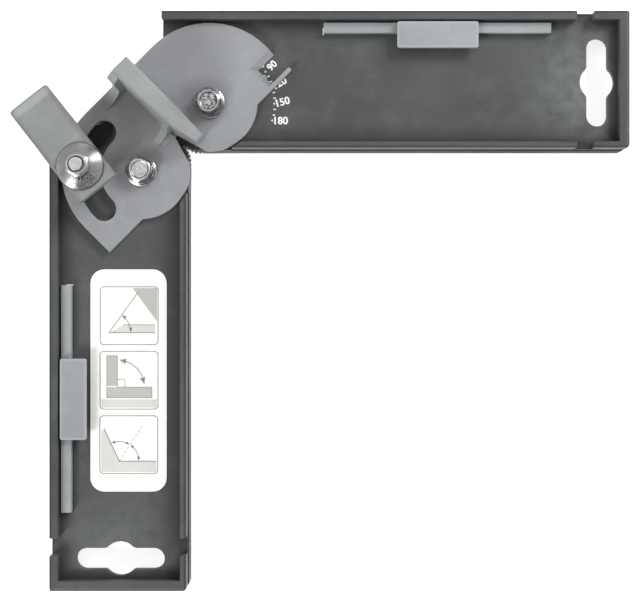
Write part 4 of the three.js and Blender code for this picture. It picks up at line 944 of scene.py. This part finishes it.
class Print:
    """Shapes of one ink on one face, in millimetres from an origin that can be moved over the print."""

    def __init__(self, name, centre, z, material, body, slot_name=None):
        self.name = name
        self.material = material
        self.body = body
        self.slot_name = slot_name
        self.centre = Vector((centre.x, centre.y, z))
        self.origin = Vector((0, 0))
        self.shape = bmesh.new()

    def spot(self, point, lift=0.0):
        """Where a point of the drawing lies on the face."""
        place = Vector(point) + self.origin
        return self.centre + Vector((place.x, place.y, lift)) * MM

    def fill(self, points):
        self.shape.faces.new([self.shape.verts.new(self.spot(point)) for point in points])

    def stroke(self, points, width, closed=False):
        count = len(points)
        left, right = [], []
        for i in range(count):
            before = Vector(points[i - 1]) if closed or i > 0 else None
            after = Vector(points[(i + 1) % count]) if closed or i < count - 1 else None
            here = Vector(points[i])
            first = (here - before).normalized() if before else (after - here).normalized()
            second = (after - here).normalized() if after else first
            side = (first + second).normalized()
            normal = Vector((-side.y, side.x))
            reach = width / 2 / max(SHARPEST_MITRE, normal.dot(Vector((-first.y, first.x))))
            left.append(here + normal * reach)
            right.append(here - normal * reach)
        for i in range(count if closed else count - 1):
            j = (i + 1) % count
            self.fill([right[i], right[j], left[j], left[i]])

    def dashes(self, start, end, width, dash, gap):
        start, end = Vector(start), Vector(end)
        way = (end - start).normalized()
        place = 0.0
        while place < (end - start).length:
            stop = min(place + dash, (end - start).length)
            self.stroke([start + way * place, start + way * stop], width)
            place += dash + gap

    def arrow_head(self, tip, heading, size):
        length, width = size
        tip = Vector(tip)
        way = Vector((math.cos(heading), math.sin(heading)))
        side = Vector((-way.y, way.x))
        back = tip - way * length
        notch = back + way * length * ARROW_NOTCH_SHARE
        self.fill([tip, back + side * width / 2, notch, back - side * width / 2])

    def number(self, text, place, heading, height, width):
        """A number of a given height and width, drawn twice side by side so that it comes out bold."""
        curve = bpy.data.curves.new(self.name + text, "FONT")
        curve.body = text
        curve.offset = GLYPH_WEIGHT
        curve.align_x = "CENTER"
        curve.align_y = "CENTER"
        curve.space_character = GLYPH_SPACING
        sample = show(self.name + text, curve)
        bpy.context.view_layer.update()
        flat = bpy.data.meshes.new_from_object(sample.evaluated_get(bpy.context.evaluated_depsgraph_get()))
        xs = [v.co.x for v in flat.vertices]
        ys = [v.co.y for v in flat.vertices]
        centre = Vector((min(xs) + max(xs), min(ys) + max(ys))) / 2
        stretch = Vector((width / (max(xs) - min(xs)), height / (max(ys) - min(ys))))
        drawn = [(v.co.xy - centre) * stretch for v in flat.vertices]
        spin = Matrix.Rotation(heading, 2)
        for shift, lift in ((-GLYPH_SHIFT, 0.0), (GLYPH_SHIFT, GLYPH_LIFT)):
            for v, point in zip(flat.vertices, drawn):
                v.co = self.spot(spin @ (point + Vector((shift, 0))) + Vector(place), lift)
            self.shape.from_mesh(flat)
        bpy.data.objects.remove(sample)
        bpy.data.curves.remove(curve)
        bpy.data.meshes.remove(flat)

    def done(self):
        for face in self.shape.faces:
            face.normal_update()
            if face.normal.z < 0:
                face.normal_flip()
        declare(piece_of(self.name, self.shape, self.material), self.body)


# Steps along an arc, in degrees
ARC_STEP = 6
CORNER_STEP = 15


def on_circle(radius, degrees, centre=(0, 0)):
    angle = math.radians(degrees)
    return (centre[0] + radius * math.cos(angle), centre[1] + radius * math.sin(angle))


def arc(radius, start, end, centre=(0, 0), step=ARC_STEP):
    count = max(2, int(abs(end - start) / step))
    return [on_circle(radius, start + (end - start) * i / count, centre) for i in range(count + 1)]


def rounded_square(half, radius):
    inner = half - radius
    points = []
    for start, x, y in ((0, inner, inner), (90, -inner, inner), (180, -inner, -inner), (270, inner, -inner)):
        points += arc(radius, start, start + 90, (x, y), CORNER_STEP)
    return points


# The degree scale on arm A, in millimetres about pivot A
FIRST_MARK = 80
LAST_MARK = 180
MARK_STEP = 10
SQUARE_MARK = 90
SQUARE_HEADING = 30.3
MARK_RADIUS = 24.45
MARK_HALF_LENGTH = 0.48
MARK_WIDTH = 0.42
POINTER_LENGTH = 0.75
POINTER_HALF_WIDTH = 0.45
NUMBER_RADIUS = 27.5
NUMBER_SHIFT = 1.7
NUMBER_HEIGHT = 2.9
NUMBER_WIDTHS = {90: 3.5, 120: 5.1, 150: 5.1, 180: 5.1}


def degree_scale():
    """Marks for the angle that the tool is opened to. The arm turns half as far as the tool opens."""
    ink = Print("degree_scale", PIVOT_A, FLOOR_TOP + PRINT_LIFT, ink_white, "arm_a")
    for value in range(FIRST_MARK, LAST_MARK + 1, MARK_STEP):
        heading = SQUARE_HEADING - (value - SQUARE_MARK) / 2
        way = level_way(math.radians(heading)).xy
        side = Vector((-way.y, way.x)) * POINTER_HALF_WIDTH
        if value in NUMBER_WIDTHS:
            back = way * MARK_RADIUS
            ink.fill([way * (MARK_RADIUS - POINTER_LENGTH), back - side, back + side])
            place = on_circle(NUMBER_RADIUS, heading + NUMBER_SHIFT)
            lean = math.radians((LAST_MARK - value) / 2)
            ink.number(str(value), place, lean, NUMBER_HEIGHT, NUMBER_WIDTHS[value])
        else:
            ends = [way * (MARK_RADIUS - MARK_HALF_LENGTH), way * (MARK_RADIUS + MARK_HALF_LENGTH)]
            ink.stroke(ends, MARK_WIDTH)
    ink.done()


# The label's three small drawings: measuring, squaring and halving an angle. All of it is in millimetres
FRAME_HALF = 10.9
FRAME_CORNER = 1.4
FRAME_LINE = 0.34
THIN_LINE = 0.26
ARC_LINE = 0.32
SIDE_LINE = 0.36
SWEEP_LINE = 0.38
BISECTED_LINE = 0.4
SMALL_ARROW = (1.6, 1.3)
ARROW = (2.0, 1.5)
LARGE_ARROW = (2.9, 2.4)
PAD_LEFT = -10.4
PAD_RIGHT = 10.4
PAD_FOOT = -10.3


def measured_angle(line, tint, body):
    """Acute angle with its arc and a shaded corner of a board."""
    corner = (-7.6, -6.4)
    strip_start = (-2.2, -3.4)
    right = 9.8
    board = (10.5, 10.4)
    radius = 8.2
    body.fill([(1.2, board[1]), board, (board[0], -2.2)])
    tint.fill([corner, (right, corner[1]), (right, strip_start[1]), strip_start])
    line.stroke([(right, corner[1]), corner, (3.6, 9.2)], SIDE_LINE)
    line.stroke([strip_start, (right, strip_start[1])], THIN_LINE)
    line.stroke(arc(radius, 4, 50, corner), THIN_LINE)
    line.arrow_head((corner[0] + radius, corner[1] + 0.1), -math.pi / 2, ARROW)
    line.arrow_head(on_circle(radius, 54, corner), math.radians(144), ARROW)


def squared_angle(line, tint, body):
    """Right angle between two shaded bars, with a square mark and a sweep between them."""
    left, right, up, foot = -8.4, 8.6, 9.2, -6.6
    inner = (-4.4, -2.6)
    mark = 2.8
    gap = 0.4
    tint.fill([(PAD_LEFT, PAD_FOOT), (PAD_RIGHT, PAD_FOOT), (PAD_RIGHT, -7.2), (PAD_LEFT, -7.2)])
    body.fill([(left, foot), (right, foot), (right, inner[1]), (left, inner[1])])
    body.fill([(left, inner[1] + gap), (inner[0], inner[1] + gap), (inner[0], up), (left, up)])
    line.stroke([(left, foot), (right, foot), (right, inner[1]), inner, (inner[0], up), (left, up)],
                THIN_LINE, closed=True)
    mark_corner = (inner[0] + mark, inner[1] + mark)
    line.stroke([(mark_corner[0], inner[1]), mark_corner, (inner[0], mark_corner[1])], THIN_LINE)
    sweep = arc(10.2, 16, 76, inner)
    line.stroke(sweep, SWEEP_LINE)
    line.arrow_head((sweep[0][0] + 0.4, sweep[0][1] - 1.8), math.radians(-74), LARGE_ARROW)
    line.arrow_head((sweep[-1][0] - 1.8, sweep[-1][1] + 0.4), math.radians(166), LARGE_ARROW)


def halved_angle(line, tint, body):
    """Obtuse angle halved by a dashed line between two equal arcs."""
    corner = (-3.6, -6.2)
    radius = 7.4
    tint.fill([(PAD_LEFT, PAD_FOOT), (PAD_RIGHT, PAD_FOOT), (PAD_RIGHT, corner[1]), corner, (-9.0, 5.4),
               (PAD_LEFT, 5.4)])
    line.stroke([(10.2, corner[1]), corner, (-9.4, 6.2)], BISECTED_LINE)
    line.dashes(corner, on_circle(16.5, 57, corner), THIN_LINE, 1.1, 0.75)
    first_tip = (corner[0] + radius, corner[1] + 0.2)
    second_tip = on_circle(radius, 58, corner)
    for start, end, low_tip in ((6, 50, first_tip), (64, 108, second_tip)):
        line.stroke(arc(radius, start, end, corner), ARC_LINE)
        line.arrow_head(on_circle(radius, end + 6, corner), math.radians(end + 92), SMALL_ARROW)
        line.arrow_head(low_tip, math.radians(start - 92), SMALL_ARROW)


# Where the middle of each drawing lies on the label
DRAWINGS = (((0.25, 24.4), measured_angle), ((0.2, 0.1), squared_angle), ((0.1, -24.2), halved_angle))


def label_drawings():
    centre = middle("instruction_label")
    line = Print("label_lines", centre, LABEL_TOP + 3 * PRINT_LIFT, ink_grey, "arm_b", "label_paper")
    tint = Print("label_tints", centre, LABEL_TOP + PRINT_LIFT, ink_pale, "arm_b", "label_paper")
    body = Print("label_shades", centre, LABEL_TOP + 2 * PRINT_LIFT, ink_mid, "arm_b", "label_paper")
    for place, draw in DRAWINGS:
        for layer in (line, tint, body):
            layer.origin = Vector(place)
        line.stroke(rounded_square(FRAME_HALF, FRAME_CORNER), FRAME_LINE, closed=True)
        draw(line, tint, body)
    for layer in (line, tint, body):
        layer.done()


degree_scale()
label_drawings()


# Surroundings, in metres and watts
PAPER_HALF = 40.0
PAPER_DROP = 0.05 * MM
PAPER_GREY = (0.86, 0.86, 0.86, 1)
PAPER_GLOW = 0.8
SHADOW_PLACE = PIVOT_B + plan(-13, 19.5)
SHADOW_REACH = (5 * MM, 9 * MM)
SHADOW_DISTANCE = 25 * MM
SHADOW_SAMPLES = 16
SKY_LOW = 0.15
SKY_HIGH = 0.2
SKY_HIGH_AT = 0.7
HORIZON = (0.26, 0.34)

# Name, place, width, power, and whether the lamp shows in the object's metal
LAMPS = (
    ("key", (0.55, 0.55, 0.6), 0.4, 5.6, True),
    ("opposite", (-0.6, -0.6, 0.65), 0.4, 6.8, True),
    ("rear", (-0.6, 0.65, 0.5), 0.5, 1.5, False),
    ("front", (0.95, -0.12, 0.5), 0.5, 3.2, False),
    ("overhead", (-0.15, 0.25, 1.2), 0.7, 1.8, True),
)


def floor():
    """White paper, darkened by how far it is closed in where it shows down through the clamp's slot."""
    corners = [(x * PAPER_HALF, y * PAPER_HALF, -PAPER_DROP) for x, y in ((-1, -1), (1, -1), (1, 1), (-1, 1))]
    mesh = bpy.data.meshes.new("floor")
    mesh.from_pydata(corners, [], [(0, 1, 2, 3)])
    m = Surface("floor_paper")
    room = m.add("ShaderNodeAmbientOcclusion", samples=SHADOW_SAMPLES)
    room.inputs["Distance"].default_value = SHADOW_DISTANCE
    near = m.fall(m.distance_from(SHADOW_PLACE), *SHADOW_REACH)
    shut = m.product(m.fall(room.outputs["AO"], 0.4, 0.75), near)
    m.blend(shut, (0.0, PAPER_GREY), (1.0, linear(SHADOW_GREY)))
    m.constant(Roughness=0.9)
    glow = m.add("ShaderNodeEmission")
    m.link(m.fall(shut, 0.0, 1.0, PAPER_GLOW), glow.inputs["Strength"])
    glowing = m.add("ShaderNodeAddShader")
    m.link(m.shader.outputs[0], glowing.inputs[0])
    m.link(glow.outputs[0], glowing.inputs[1])
    seen = m.add("ShaderNodeMixShader")
    m.link(m.looked_at(), seen.inputs["Fac"])
    m.link(m.shader.outputs[0], seen.inputs[1])
    m.link(glowing.outputs[0], seen.inputs[2])
    m.link(seen.outputs[0], m.tree.nodes["Material Output"].inputs["Surface"])
    new_piece("floor", mesh, m.done())


def world():
    """Even light from above that falls off downwards, and a white horizon for whoever looks at it."""
    surroundings = bpy.data.worlds.new("studio")
    bpy.context.scene.world = surroundings
    surroundings.use_nodes = True
    m = Nodes(surroundings.node_tree, "Generated")
    background = m.tree.nodes["Background"]
    background.inputs["Color"].default_value = (1, 1, 1, 1)
    height = m.height()
    sky = m.span(height, 0.0, SKY_HIGH_AT, SKY_LOW, SKY_HIGH)
    horizon = m.product(m.fall(height, *HORIZON), m.looked_at())
    m.link(m.combine("MAXIMUM", sky, horizon), background.inputs["Strength"])


def lamp(name, place, width, power, mirrored):
    """A round soft lamp that points at the middle of the object."""
    data = bpy.data.lights.new(name, "AREA")
    data.shape = "DISK"
    data.size = width
    data.energy = power
    item = show(name, data)
    item.location = place
    item.visible_glossy = mirrored
    item.rotation_euler = (-Vector(place)).to_track_quat("-Z", "Y").to_euler()


def camera():
    data = bpy.data.cameras.new("photo_view")
    data.lens = CAMERA_LENS
    data.sensor_width = CAMERA_SENSOR
    data.clip_start, data.clip_end = CAMERA_CLIP
    view = show("photo_view", data)
    place = PIVOT_A + CAMERA_FROM_PIVOT_A
    view.location = (place.x, place.y, CAMERA_HEIGHT)
    bpy.context.scene.camera = view


floor()
world()
for settings in LAMPS:
    lamp(*settings)
camera()
bpy.context.scene.view_settings.view_transform = "Standard"
